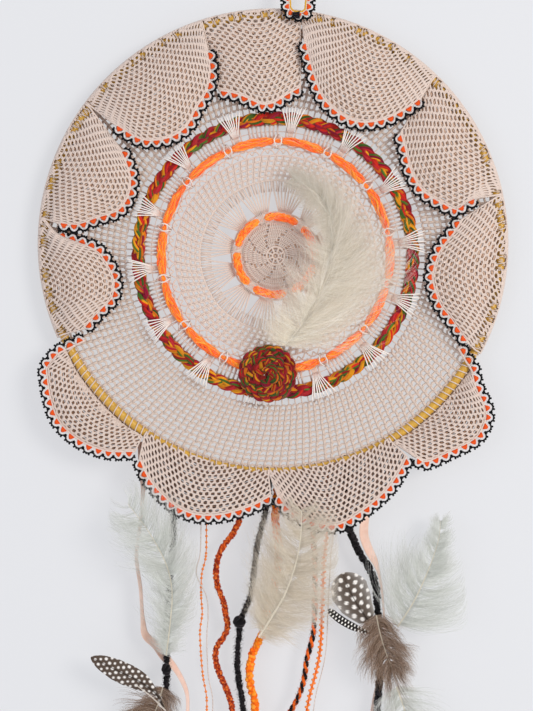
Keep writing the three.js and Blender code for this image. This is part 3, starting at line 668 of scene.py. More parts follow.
def lobe_net(letter):
    """Rows of crochet at even distances from the edging, joined by staggered posts. The outer rows run out
    where they meet the hoop."""
    lobe = LOBES[letter]
    rng = np.random.default_rng(ord(letter))
    edge_long = path_length(lobe["lace_edge"])
    table = np.linspace(0, 1, 41)
    down_lobe = np.linspace(0, 1, 30)
    depths = np.array([path_length(lobe_surface(lobe, np.full(30, c), down_lobe)) for c in table])
    deep = depths.max()
    across = int(round(edge_long / sizes("lobe_cell")))
    tall = sizes("lobe_row")
    hangs = bool(lobe.get("hangs"))
    threads, bars = Threads(), Threads()
    u = np.linspace(0, 1, across * 6 + 1)
    depth = np.interp(u, table, depths)
    # stitches are pulled apart over the ribbon wherever open_up passes this share, between these depths
    parted, near, far = 0.55, 5.5, 12
    open_up = np.interp(u, np.linspace(0, 1, 24), rng.random(24))
    rows = int(deep / tall) + 1
    pull = [np.interp(u, np.linspace(0, 1, across), rng.normal(0, 0.14, across)) for _ in range(rows + 2)]
    for row in range(rows):
        swing = 0.32 * np.cos(2 * np.pi * across * u + math.pi * row)
        from_edge = (row + 0.7) * tall + swing + pull[row]
        v = 1 - from_edge / depth
        path = lobe_surface(lobe, u, np.clip(v, 0, 1))
        bare = (open_up > parted) & (v * depth > near + 0.1) & (v * depth < far) & (not hangs)
        in_runs(threads, path, (v > 0) & ~bare, 0.6, sides=5)
        # a post stands on the row wherever it swings towards the hoop
        at = (np.arange(across) + (0.5 if row % 2 else 0.0)) / across
        at = at[(at > 0) & (at < 1)]
        low = (row + 0.7) * tall + 0.1 + np.interp(at, u, pull[row])
        high = (row + 1.7) * tall - 0.1 + np.interp(at, u, pull[row + 1])
        s = np.linspace(0, 1, 3)
        for leg in (-0.46, 0.46):
            place = at[:, None] + (leg * (1 - 0.35 * s) + 0.25 * s) / edge_long
            v = 1 - (low[:, None] + (high - low)[:, None] * s) / np.interp(place, table, depths)
            post = lobe_surface(lobe, np.clip(place, 0, 1), np.clip(v, 0, 1))
            post = post + FRONT * (0.25 * np.sin(np.pi * s))[:, None]
            kept = (v > 0).all(1)
            from_hoop = v[:, 1] * np.interp(at, table, depths)
            pulled = (np.interp(at, u, open_up) > parted) & (from_hoop > near) & (from_hoop < far)
            pulled = pulled & (not hangs)
            for these, radius in ((kept & ~pulled, 0.56), (kept & pulled, 0.24)):
                if these.any():
                    bars.add(post[these], radius, sides=4)
    # two plain rows under the edging
    for v in (0.985, 1.0):
        threads.add(lobe_surface(lobe, u, np.full(len(u), v)), thread_r() * 1.1)
    # chains that close the lobe at its valleys
    for u_end in (0.0, 1.0):
        threads.add(lobe_surface(lobe, np.full(30, u_end), down_lobe), thread_r() * 1.1)
    # close stitches where the lace turns over the hoop, with a few pulled apart over the ribbon
    if "over" not in lobe:
        for k, turn in enumerate(np.radians(np.arange(-34, 62, 9.5))):
            v = LOBE_CLEAR * (turn + math.radians(35)) / depth
            wave = 0.3 * np.cos(2 * np.pi * across * 1.5 * u + 2.1 * k) / depth
            path = lobe_surface(lobe, u, np.clip(v + wave, 0, 1))
            in_runs(threads, path, (v < 0.5) & ((open_up < parted) | (k < 7)), 0.46)
    made = threads.lace(f"lobe_net_{letter}", f"lobe_{letter}")
    posts_made = bars.lace(f"lobe_posts_{letter}")
    # painted shade: darker threads behind the lace, darkest under the hanging lobes, stand for the shade seen through
    # its holes
    under = Threads()
    shade = linear({"d": "#ab8870", "g": "#9f7d65", "e": "#84695a", "f": "#7f6454"}.get(letter, "#dfc1aa"))
    u = np.linspace(0, 1, int(edge_long / 3))
    depth = np.interp(u, table, depths)
    for q in np.arange(2.6, deep, 2.05):
        v = 1 - (q + 0.25 * np.cos(40 * u + q)) / depth
        sunk = 1.4 * np.clip(v * depth / 8, 0, 1)
        path = lobe_surface(lobe, u, np.clip(v, 0, 1)) - FRONT * sunk[:, None]
        in_runs(under, path, v * depth > (1.0 if hangs else 13.0), 0.8, tint=shade)
    painted_shade_piece = under.put(f"lobe_painted_shade_layer_{letter}", "cotton_in_painted_shade", "hoop", "crochet_lace")
    grid_u, grid_v = np.meshgrid(np.linspace(0, 1, 40), np.linspace(0, 1, 40))
    grid = lobe_surface(lobe, grid_u, grid_v)
    cross = np.cross(grid[1:, :-1] - grid[:-1, :-1], grid[:-1, 1:] - grid[:-1, :-1])
    area = float(np.linalg.norm(cross, axis=-1).sum()) * MM * MM
    flat = (1.1 * edge_long * MM, 1.1 * deep * MM)
    share = min(max(area, 0.31 * flat[0] * flat[1]), 0.99 * flat[0] * flat[1])
    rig.sheet(made, flat=flat, held="hung" if hangs else "folded", area=share,
             with_pieces=[posts_made, painted_shade_piece])


# ---------- Edging ----------
def edging_units(threads, line, pitch, flip=1.0):
    """Shells, scallops and picots along a line: an orange fan of stitches per unit, white scallops round it
    and black picots outside. flip is 1 where outside lies on the line's left, seen from the front, or -1."""
    count = max(2, int(round(path_length(line) / pitch)))
    steps = len(line) - 1
    centres = (np.arange(count) + 0.5) / count * steps
    along, _, _ = frames_along(line)
    out = np.stack([along[:, 2], np.zeros(len(line)), -along[:, 0]], -1) * flip
    half = path_length(line) / count / 2
    at = np.arange(len(line))

    def local(t, n, f):
        """Points at t along, n outward and f forward of each unit's centre, following the line's bend."""
        t, n, f = (np.asarray(a, float) for a in (t, n, f))
        where = np.clip(centres[:, None] + t * steps / path_length(line), 0, steps)
        spot = np.stack([np.interp(where, at, line[:, k]) for k in range(3)], -1)
        outward = np.stack([np.interp(where, at, out[:, k]) for k in range(3)], -1)
        return spot + outward * np.broadcast_to(n, where.shape)[..., None] \
            + FRONT * np.broadcast_to(f, where.shape)[..., None]

    orange, white, black = tints(["#e2551e", "#eae7e5", "#0b0a0d"])
    s = np.linspace(0, 1, 4)
    for lean in np.linspace(-1, 1, 5):
        fan = local(lean * (1.75 - 1.2 * s), -2.95 + (2.75 - 0.5 * abs(lean)) * s,
                    0.5 + 0.4 * np.sin(np.pi * s))
        threads.add(fan, np.array([0.5, 0.56, 0.52, 0.36]), orange)
    t = np.linspace(-1, 1, 11)
    cup = 0.62 - 3.3 * np.abs(t) ** 2.2
    threads.add(local(t * half, cup, 0.55 - 0.4 * np.abs(t)), 0.2, white)
    threads.add(local(t * half * 0.86, cup - 0.7 + 0.6 * np.abs(t), 0.5), 0.17, white, sides=4)
    for k in np.linspace(-0.84, 0.84, 9):
        base = 0.62 - 3.3 * abs(k) ** 2.2
        s = np.linspace(0, 1, 3)
        stitch = local(k * half + 0.5 * k * s, base + (1.35 - 0.3 * abs(k)) * s, 0.5 - 0.1 * s)
        threads.add(stitch, 0.18, white, sides=4)
    t = np.linspace(-1, 1, 13)
    chain = 1.7 - 2.9 * np.abs(t) ** 2.4
    threads.add(local(t * half * 1.04, chain, 0.3), 0.64, black)
    s = np.linspace(0, 1, 3)
    for j, k in enumerate(np.linspace(-0.84, 0.84, 5)):
        root = 1.7 - 2.9 * abs(k) ** 2.4
        far = 0.62 + 0.3 * math.sin(2.4 * j)
        stem = local(k * half * (1.04 + 0.16 * s), root + far * s, 0.3)
        threads.add(stem, np.array([0.55, 0.52, 0.5]), black, sides=4)
        threads.balls(local([k * half * 1.2], [root + far], 0.35)[:, 0], 0.76, black, rings=3)
    # foundation chain that the shells are worked on
    threads.add(local(np.linspace(-1, 1, 5) * half, -3.35, 0.1), 0.55, linear("#e2d2c7"))
    threads.add(local(np.linspace(-1, 1, 5) * half, -3.9, -0.2), 0.5, linear("#d8c4b8"))


def edging(letter):
    """The picot edging of one lobe, run on past the lace where the lobe says so."""
    lobe = LOBES[letter]
    line = lobe["edging"]
    for key, at_end in (("lead", False), ("tail", True)):
        if key in lobe:
            extra = np.array([(x, -5.2, z) for x, z in lobe[key]])
            joined = np.concatenate([line[::12], extra] if at_end else [extra, line[::12]])
            line = smooth_path(joined, count=261)
    threads = Threads()
    edging_units(threads, line, sizes("shell_pitch"), flip=1.0 if not lobe.get("hangs") else -1.0)
    threads.put(f"picot_edging_{letter}", "dyed_cotton_crochet", "hoop", "picot_edging", f"edging_{letter}")


# ---------- Hoop ----------
def hoop():
    """The ribbon wound slantwise round the ring, with the doily's sewing threads over it."""
    turns = int(round(2 * math.pi * HOOP_R / sizes("wrap_pitch")))
    steps, sides = turns * 8, 20
    clock = 2 * np.pi * np.arange(steps) / steps
    round_it = 2 * np.pi * np.arange(sides) / sides
    # each turn laps the one before it, so its edge stands a little proud
    lap = (clock[:, None] * turns / (2 * np.pi) + round_it / (2 * np.pi)) % 1.0
    r = WRAP_R - 0.42 + 0.42 * lap ** 0.6
    out = HOOP_R + r * np.cos(round_it)
    y = -r * np.sin(round_it)
    points = np.stack([out * np.sin(clock)[:, None], y, out * np.cos(clock)[:, None]], -1)
    index = np.arange(steps * sides).reshape(steps, sides)
    after = np.roll(index, -1, 1)
    quads = np.stack([index, np.roll(index, -1, 0), np.roll(after, -1, 0), after], -1).reshape(-1, 4)
    made = mesh_object("hoop_ribbon_wrap", points.reshape(-1, 3), [quads[:, ::-1]],
                       finish="satin_ribbon_mustard")
    put(made, "hoop", "satin_mustard", "hoop_wrap")
    threads = Threads()
    stitches = int(round(2 * math.pi * HOOP_R / 4.4))
    clock = 2 * np.pi * np.arange(stitches) / stitches
    turn = np.linspace(-40, 215, 12)
    slant = np.radians(np.linspace(0, 1.3, 12))
    sewing_r = 0.42
    reach = WRAP_R + sewing_r
    radius = HOOP_R + reach * np.cos(np.radians(turn))
    y = -reach * np.sin(np.radians(turn))
    threads.add(polar(radius, clock[:, None] + slant, y, centre=np.zeros(3)), sewing_r)
    threads.lace("hoop_lashing")
    core = bpy.data.objects.get("hoop_core")
    core.data.materials.clear()
    core.data.materials.append(material("drawn_steel_wire"))


# ---------- Doily ground ----------
def ring_chain(threads, radius, y=WEB_Y, r=None, wave=0.0, waves=0, count=None, phase=0.0):
    """A closed round of chain stitches, scalloped by wave."""
    count = count or int(radius * 1.9)
    clock = 2 * np.pi * np.arange(count) / count
    threads.add(polar(radius + wave * np.cos(waves * clock + phase), clock, y), r or thread_r(), closed=True)


def posts(threads, inner, outer, clocks, r=None, lean=0.0, y=WEB_Y, count=3):
    """Straight stitches from one radius to another at the given clock angles."""
    s = np.linspace(0, 1, count)
    clocks = np.asarray(clocks)[:, None] + lean * s
    threads.add(polar(inner + (outer - inner) * s, clocks, y), r or thread_r())


def medallion():
    """Centre: an eight-holed flower, then close rounds of posts with eight curved lines of holes."""
    threads = Threads()
    t = thread_r()
    ring_chain(threads, 2.0, r=t * 1.2, count=20)
    posts(threads, 2.2, 5.6, 2 * np.pi * (np.arange(8) + 0.5) / 8, r=t * 1.3)
    ring_chain(threads, 5.8, r=t * 1.25, count=32)
    for k, (inner, outer) in enumerate(zip(MEDALLION[:-1], MEDALLION[1:])):
        many = int(2 * math.pi * (inner + outer) / 2 / 1.22)
        clocks = 2 * np.pi * (np.arange(many) + 0.5 * (k % 2)) / many
        # the lines of holes turn a little further in each round
        gap = (clocks - 0.13 * k) % (2 * np.pi / 8)
        keep = gap > 2.1 * math.pi / many
        posts(threads, inner, outer, clocks[keep], r=0.52, lean=0.03)
        ring_chain(threads, outer, y=WEB_Y + 0.15, r=0.36, wave=0.12, waves=many)
    for radius in (22.3, 28.4):
        ring_chain(threads, radius, r=t * 1.1, wave=0.3, waves=24)
    # painted shade: darker rings behind the centre, seen through its holes
    under = Threads()
    for radius in np.arange(1.2, 22, 1.9):
        clock = np.linspace(0, 2 * np.pi, max(10, int(radius * 3)), endpoint=False)
        under.add(polar(radius, clock, WEB_Y + 2.0), 0.8, linear("#d6b59e"), closed=True)
    under.put("doily_medallion_painted_shade_layer", "cotton_in_painted_shade", "hoop", "crochet_lace")
    return threads.lace("doily_medallion")


def spokes():
    """Long threads in twelve sheaves, gathered at the orange ring and spread towards the mesh."""
    threads = Threads()
    groups, per = 12, 9
    rng = np.random.default_rng(8)
    for g in range(groups):
        mid = 2 * math.pi * (g + 0.4) / groups
        spread = np.linspace(-0.5, 0.5, per) * (2 * math.pi / groups)
        s = np.linspace(0, 1, 6)
        clock = mid + spread[:, None] * (0.5 + 0.5 * s ** 0.7) + rng.normal(0, 0.006, (per, 1)) * s
        radius = SPOKES[0] + (SPOKES[1] - SPOKES[0]) * s
        y = WEB_Y - 0.5 * np.sin(np.pi * s)
        threads.add(polar(radius, clock, y), 0.6)
    # short stitches fill the outer half
    clocks = 2 * np.pi * (np.arange(168) + 0.3) / 168
    posts(threads, 41.5, SPOKES[1], clocks, r=0.5, y=WEB_Y + 0.4)
    return threads.lace("doily_spokes")


def inner_mesh():
    """Small square mesh between the spokes and the outer orange ring, ending in a round of loops."""
    threads = Threads()
    rounds = np.linspace(*MESH, 6)
    many = 84
    for k, (inner, outer) in enumerate(zip(rounds[:-1], rounds[1:])):
        ring_chain(threads, inner, r=0.78, wave=0.18, waves=many, phase=0.5 * k)
        clocks = 2 * np.pi * (np.arange(many) + 0.22 * k) / many
        posts(threads, inner, outer, clocks, r=0.78, lean=0.01)
        posts(threads, inner, outer, clocks + 0.018, r=0.62, lean=0.012, y=WEB_Y - 0.5)
    ring_chain(threads, rounds[-1], r=0.7, wave=0.15, waves=many)
    t = np.linspace(0, 1, 8)
    starts = 2 * np.pi * np.arange(many // 2) / (many // 2)
    step = 2 * np.pi / (many // 2)
    clock = starts[:, None] + step * t
    threads.add(polar(64.8 + 4.4 * np.sin(np.pi * t) ** 0.8, clock), 0.55)
    threads.add(polar(66.2 + 4.2 * np.sin(np.pi * t) ** 0.8, clock + step / 2, WEB_Y + 0.5), 0.5)
    return threads.lace("doily_inner_mesh")


def lace_band():
    """Arches, picots and crossed threads under and outside the orange ring, and the fourteen combs."""
    threads, combs = Threads(), Threads()
    t = thread_r()
    step = 2 * math.pi / FAN_COUNT
    s = np.linspace(0, 1, 12)
    for arches, inner, high, y, r in ((42, 69.4, 2.4, 0.9, 0.6), (70, 75.2, 1.4, 0.4, 0.6)):
        wide = 2 * math.pi / arches
        clock = (wide * np.arange(arches))[:, None] + wide * s
        threads.add(polar(inner + high * np.sin(np.pi * s), clock, y), r)
    ring_chain(threads, BAND[0], r=t * 1.2, wave=0.25, waves=84)
    ring_chain(threads, BAND[1], r=t * 1.2, wave=0.3, waves=70)
    # posts between the orange ring and the plait, with a wide hole to each side of every comb's foot
    places = np.radians([-2.2, -0.8, 0.8, 2.2, 6.3, 8.0, 9.9, 11.8, 13.8, 15.8, 17.6, 19.4])
    clocks = (FAN_PHASE + step * np.arange(FAN_COUNT))[:, None] + places
    posts(threads, *BAND, clocks.ravel(), r=0.6, y=0.3, lean=0.006)
    posts(threads, *BAND, clocks[:, 4:].ravel() + 0.012, r=0.45, y=-0.1, lean=-0.012)
    ring_chain(threads, 80.2, y=0.9, r=0.3, count=200)
    # a thin round behind the plait
    posts(threads, BAND[1], NET_FROM + 0.2, 2 * np.pi * np.arange(140) / 140, r=0.5)
    ring_chain(threads, 91.0, r=t, wave=0.2, waves=140)
    for k in range(FAN_COUNT):
        mid = FAN_PHASE + k * step
        # the comb: threads gathered at its foot that pass in front of the plait
        lean = np.linspace(-1, 1, 8) + 0.06 * np.sin(7.0 * np.arange(8) + 3.0 * k)
        run = np.linspace(0, 1, 9)
        foot = 79.0
        tip = 96.6 + 1.3 * np.sin(2.2 * np.arange(8) + 1.7 * k)[:, None]
        radius = foot + (tip - foot) * run
        clock = mid + (lean * 0.017)[:, None] + (lean * 0.07)[:, None] * run ** 0.9
        over = np.clip((radius - 80.5) / 3.6, 0, 1) * np.clip((98.6 - radius) / 5.2, 0, 1)
        y = WEB_Y - 7.9 * np.sqrt(over)
        combs.add(polar(radius, clock, y), 0.26 + 0.2 * run ** 0.7, linear("#f1e9e2"), sides=6)
        root = np.linspace(-1, 1, 5)
        clock = mid + (root * 0.018)[:, None]
        bow = np.sin(np.pi * run)
        threads.add(polar(75.8 + (foot + 1.2 - 75.8) * run, clock, WEB_Y - 0.8 * bow), 0.42)
        # crossed threads that hold the orange ring
        hold = DASH_PHASE + k * step
        run = np.linspace(0, 1, 11)
        bow = np.sin(np.pi * run)
        for side in (-1, 1):
            clock = hold + side * (0.004 + 0.028 * bow)
            combs.add(polar(69.0 + 9.4 * run, clock, WEB_Y - 6.3 * bow ** 0.45), 0.42, linear("#ebe1d9"))
    combs.put("doily_combs", "dyed_cotton_crochet", "hoop", "crochet_lace")
    return threads.lace("doily_lace_band")


def outer_net():
    """The open net: rounds stretched between the combs and the off-centre hoop, with posts in line."""
    threads = Threads()
    # painted shade: the open net's thread is darker than the lace's own colour
    dye = linear("#d3c1b4")
    rounds = 12
    many = int(round(2 * math.pi * 118 / sizes("net_cell")))
    clock = 2 * np.pi * np.arange(many) / many
    # where each radius from the doily's centre meets the hoop
    ray = np.stack([np.sin(clock), np.cos(clock)], -1)
    off = DOILY[[0, 2]]
    b = ray @ off
    reach = -b + np.sqrt(b * b - off @ off + WEB_R ** 2)
    rng = np.random.default_rng(5)
    share = np.linspace(0, 1, rounds + 1)
    fine = many * 3
    fine_clock = 2 * np.pi * np.arange(fine) / fine

    def radius_at(turn, s):
        """Radius at a clock angle, for a share of the way from the combs to the hoop."""
        out = np.interp(turn, np.append(clock, 2 * np.pi), np.append(reach, reach[0]))
        return NET_FROM + (out - NET_FROM) * s

    for k, s in enumerate(share):
        radius = radius_at(fine_clock, s) + 0.55 * np.cos(many * (fine_clock - 0.12 * k * 2 * np.pi / many))
        threads.add(polar(radius, fine_clock), 0.8, dye, closed=True)
    run = np.linspace(0, 1, 3)
    for k in range(rounds):
        turn = clock + 2 * np.pi / many * 0.12 * k
        turn = turn[:, None] + 0.12 * 2 * np.pi / many * run + rng.normal(0, 0.002, (many, 1))
        radius = radius_at(turn % (2 * np.pi), share[k] + (share[1] - share[0]) * run)
        threads.add(polar(radius, turn, WEB_Y - 0.3), 0.96, dye)
    return threads.put("doily_outer_net", "cotton_in_painted_shade", "hoop", "crochet_lace", "doily_web")


def doily():
    """The whole ground: one sheet stretched in the hoop, whose open net has the named size."""
    parts = [medallion(), spokes(), inner_mesh(), lace_band()]
    net = outer_net()
    area = math.pi * ((WEB_R * MM) ** 2 - (NET_FROM * MM) ** 2)
    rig.sheet(net, flat=(2 * WEB_R * MM, 2 * WEB_R * MM), held="stretched", area=area, with_pieces=parts)


# ---------- Roving and plaits ----------
def run_along(path):
    """Length along a path at each of its points."""
    return np.concatenate([[0], np.cumsum(np.linalg.norm(np.diff(path, axis=0), axis=1))])


def bundle(threads, path, radius, fibres, twist_mm, colours, rng, sides=5, swell=None):
    """A soft rope of fibres twisted round each other."""
    _, across, front = frames_along(path)
    run = run_along(path)
    whole = run[-1]
    turns = whole / twist_mm
    spin = 2 * np.pi * turns * run / whole
    swell = np.ones(len(path)) if swell is None else swell
    inner = radius * 0.52
    fibre_r = radius * (0.5 if fibres < 5 else 0.42)
    lines, dyes = [], []
    for k in range(fibres):
        a = spin + 2 * np.pi * k / fibres
        lines.append(path + (inner * swell * np.cos(a))[:, None] * across
                     + (inner * swell * np.sin(a))[:, None] * front)
        stops = max(4, int(whole / 9))
        drift = np.interp(run, np.linspace(0, whole, stops), rng.uniform(0.82, 1.12, stops))
        dyes.append(np.clip(colours[k % len(colours)] * drift[:, None], 0, 1))
    threads.add(np.array(lines), np.array([fibre_r * swell] * fibres), np.array(dyes), sides=sides)


def roving(threads, path, radius, fibres, dyes, rng, swell):
    """Loose wool: many fibres that keep their place in the bundle but wander a little."""
    along = np.roll(path, -1, 0) - np.roll(path, 1, 0)
    along /= np.linalg.norm(along, axis=1, keepdims=True)
    across = np.cross(along, FRONT)
    front = np.cross(across, along)
    share = np.arange(len(path)) / len(path)
    lines, tones = [], []
    for _ in range(fibres):
        out, turn = radius * rng.uniform(0.1, 1) ** 0.5, rng.uniform(0, 2 * np.pi)
        turn = turn + rng.integers(-6, 7) * 2 * np.pi * share \
            + 0.7 * np.sin(2 * np.pi * rng.integers(5, 30) * share)
        reach = out * swell * (1 + 0.12 * np.sin(2 * np.pi * rng.integers(20, 60) * share))
        lines.append(path + (reach * np.cos(turn))[:, None] * across
                     + (0.85 * reach * np.sin(turn))[:, None] * front)
        tone = 1 + 0.12 * np.sin(2 * np.pi * rng.integers(8, 30) * share + rng.uniform(0, 6))
        tones.append(np.clip(dyes[rng.integers(0, len(dyes))] * tone[:, None], 0, 1))
    threads.add(np.array(lines), 0.2 + 0.3 * swell, np.array(tones), sides=4, closed=True)


def fuzz(name, path, radius, count, long_mm, colours, finish, body, slot, seed):
    """Loose fibre ends that stand off a yarn."""
    rng = np.random.default_rng(seed)
    at = rng.uniform(0, len(path) - 1.001, count)
    spot = np.stack([np.interp(at, np.arange(len(path)), path[:, k]) for k in range(3)], -1)
    along, across, front = (np.stack([np.interp(at, np.arange(len(path)), v[:, k]) for k in range(3)], -1)
                            for v in frames_along(path))
    a = rng.uniform(0, 2 * np.pi, count)[:, None]
    out = np.cos(a) * across + np.sin(a) * front
    lean = rng.normal(0, 0.8, (count, 1)) * along + rng.normal(0, 0.35, (count, 3))
    s = np.linspace(0, 1, 4)[None, :, None]
    paths = spot[:, None] + out[:, None] * (radius * 0.7 + rng.uniform(0.4, 1, (count, 1, 1)) * long_mm * s)
    paths = paths + lean[:, None] * long_mm * s ** 1.6
    threads = Threads()
    taper = np.array([0.11, 0.1, 0.08, 0.04])
    threads.add(paths, taper, colours[rng.integers(0, len(colours), count)], sides=3)
    return threads.put(name, finish, body, slot)


VARIEGATED = ("#8a1732", "#c4281c", "#e0941c", "#4f6e28", "#a81e28", "#d4701a", "#8f1e1a", "#d08a1c",
              "#b02a30", "#3f5a22")


def plait(threads, path, width, deep, pitch, rng, closed=False, dye=VARIEGATED, yarns=8, depth=1.0):
    """Three strands plaited flat along a path, each of several yarns of changing dye."""
    along = (np.roll(path, -1, 0) - np.roll(path, 1, 0)) if closed else np.gradient(path, axis=0)
    along /= np.linalg.norm(along, axis=1, keepdims=True)
    across = np.cross(along, FRONT)
    across /= np.linalg.norm(across, axis=1, keepdims=True)
    front = np.cross(across, along)
    run = run_along(path)
    whole = run[-1] + (run[1] if closed else 0)
    turns = max(1, round(whole / pitch)) if closed else whole / pitch
    phase = 2 * np.pi * turns * run / whole
    strand_r = width * 0.235
    swing = width / 2 - strand_r
    dyes = tints(dye)
    for k in range(3):
        p = phase + 2 * np.pi * k / 3
        centre = path + (swing * np.sin(p))[:, None] * across + (deep * np.sin(2 * p))[:, None] * front
        # yarns lie round the strand and turn with it, one down its middle
        lines, tint_rows = [], []
        for j in range(yarns):
            a = p + 2 * np.pi * j / (yarns - 1)
            out = strand_r * (0.0 if j == yarns - 1 else 0.66)
            lines.append(centre + (out * np.cos(a))[:, None] * across + (out * np.sin(a))[:, None] * front)
            order = rng.permutation(len(dyes))
            cells = int(whole / 11)
            pick = np.minimum((run / whole * cells + rng.uniform(0, 1)).astype(int), cells)
            shade = depth * rng.uniform(0.75, 1.2, cells + 1)
            tint_rows.append(dyes[order[pick % len(dyes)]] * shade[pick][:, None])
        threads.add(np.array(lines), strand_r * 0.4, np.clip(tint_rows, 0, 1), closed=closed)


def ring_path(radius, y, step):
    """Even points round the doily's centre."""
    count = int(2 * math.pi * radius / step)
    return polar(radius, 2 * np.pi * np.arange(count) / count, y)


def threaded_rings():
    """The two rings of orange roving and the plait between them."""
    rng = np.random.default_rng(11)
    dyes = tints(["#ff6a10", "#ff7a18", "#ff8e1c", "#fb620c", "#ffa02a"])
    for name, radius, wide, dashes, phase, half, node in (
            ("roving_ring_outer", ORANGE_R[1], 2.9, FAN_COUNT, DASH_PHASE, 0.030, "orange_ring_outer"),
            ("roving_ring_inner", ORANGE_R[0], 2.7, 6, math.radians(39), 0.11, "orange_ring_inner")):
        path = ring_path(radius, -2.7, 1.1)
        clock = 2 * np.pi * np.arange(len(path)) / len(path)
        each = 2 * math.pi / dashes
        near = np.abs((clock - phase + each / 2) % each - each / 2)
        if dashes == FAN_COUNT:
            # pinched by two threads at each hold, with a small swell between them
            swell = 0.62 + 0.5 * np.clip((near - half) / 0.10, 0, 1) ** 0.5
            swell -= 0.5 * np.exp(-((near - half) / 0.013) ** 2) + 0.05 * np.exp(-(near / 0.02) ** 2)
        else:
            # dives under the holds
            swell = 1.05 - 0.8 * np.exp(-(near / half) ** 6)
            path[:, 1] += 2.4 * np.exp(-(near / (half * 0.95)) ** 6)
        threads = Threads()
        roving(threads, path, wide * 0.82, 34, dyes, rng, swell)
        threads.put(name, "wool_roving", "hoop", "roving_orange", node)
        fuzz(f"{name}_halo", path, wide * 0.9, int(len(path) * 5), 1.5, dyes, "wool_roving", "hoop",
             "roving_orange", 71)
        if dashes == 6:
            bars = Threads()
            s = np.linspace(0, 1, 9)
            for k in range(dashes):
                for side in (-0.55, -0.18, 0.18, 0.55):
                    clock = phase + k * each + side * half
                    bars.add(polar(21.6 + 7.2 * s, clock, WEB_Y - 3.0 * np.sin(np.pi * s) ** 0.5), 0.5)
            bars.lace("roving_ring_inner_holds")
    threads = Threads()
    plait(threads, ring_path(PLAIT_R, -2.9, 1.3), 8.9, 1.15, sizes("plait_pitch"), rng, closed=True)
    threads.put("plait_ring", "dyed_wool", "hoop", "plait_variegated", "braid_ring")


def rosette():
    """The plait coiled into a rose, its outer turn low and its heart standing forward."""
    rng = np.random.default_rng(23)
    middle = np.array([-3.2, 0.0, -83.2])
    turns = 3.1
    a = np.linspace(0, turns * 2 * math.pi, 360)
    radius = np.interp(a / (2 * math.pi), [0, 1.0, turns], [15.2, 14.2, 1.2])
    y = -8.6 - 4.4 * (a / a[-1]) ** 1.2
    path = middle + np.stack([radius * np.cos(a + 2.2), y, radius * np.sin(a + 2.2)], -1)
    path = smooth_path(path[::6], step=0.9)
    threads = Threads()
    dye = VARIEGATED[:2] + VARIEGATED[4:7] + VARIEGATED[2:4] + VARIEGATED[8:]
    plait(threads, path, 8.2, 1.4, 17, rng, dye=dye, yarns=10, depth=0.72)
    # a backing coil fills the gaps between turns
    plait(threads, smooth_path(path[::8] + np.array([0, 2.4, 0]), step=1.4), 7.0, 0.9, 19, rng)
    threads.put("rosette_coil", "dyed_wool", "hoop", "plait_variegated", "rosette")


# ---------- Hanging loop ----------
def loop_band(name, line, body, node=None, black_tie=None):
    """A length of picot edging with a mustard ribbon laced along its inner side."""
    threads = Threads()
    edging_units(threads, line, 6.2)
    along, _, _ = frames_along(line)
    inner = line - 4.1 * np.stack([along[:, 2], np.zeros(len(line)), -along[:, 0]], -1)
    threads.add(inner, 0.75, linear("#d9a63c"))
    if black_tie is not None:
        s = np.linspace(0, 1, 60)
        a = 2 * np.pi * 3 * s
        turns = np.stack([2.1 * np.cos(a), -1.2 * np.sin(a) - 0.6, 4.0 * (s - 0.5)], -1)
        threads.add(np.asarray(black_tie) + turns, 0.62, linear("#15121a"))
    threads.put(name, "dyed_cotton_crochet", body, "picot_edging", node)


def hanging_loop():
    """The loop over the nail, and its foot, which is sewn to the front of the hoop."""
    _, high = (np.array(c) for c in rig.box("hanging_loop"))
    x = -HOOP_CENTRE[0] / MM
    top = (high[2] - HOOP_CENTRE[2]) / MM - 2.75
    half = 8.8
    joint = HOOP_R + 7.0
    right = [(x + half, -6.6, joint), (x + half + 0.3, -3.6, joint + 7), (x + half + 0.2, -0.8, joint + 15),
             (x + half, 0, joint + 26), (x + half * 0.9, 0, joint + 37), (x + half * 0.55, 0, top - 2),
             (x, 0, top)]
    left = [(2 * x - px, py, pz) for px, py, pz in right[:-1]][::-1]
    loop_band("hanging_loop_crochet", smooth_path(right + left, count=281), "hanging_loop", "hanging_loop")
    foot = [(x - half, -6.6, joint), (x - half + 0.4, -8.6, joint - 5.2), (x - 5.4, -9.2, joint - 9.2),
            (x - 0.6, -9.2, joint - 10.4), (x + 4.2, -9.2, joint - 10), (x + half - 1, -8.8, joint - 6.8),
            (x + half, -6.6, joint)]
    loop_band("hanging_loop_foot", smooth_path(foot, count=121), "hoop",
              black_tie=(x - 1.4, -10.4, joint - 8.8))


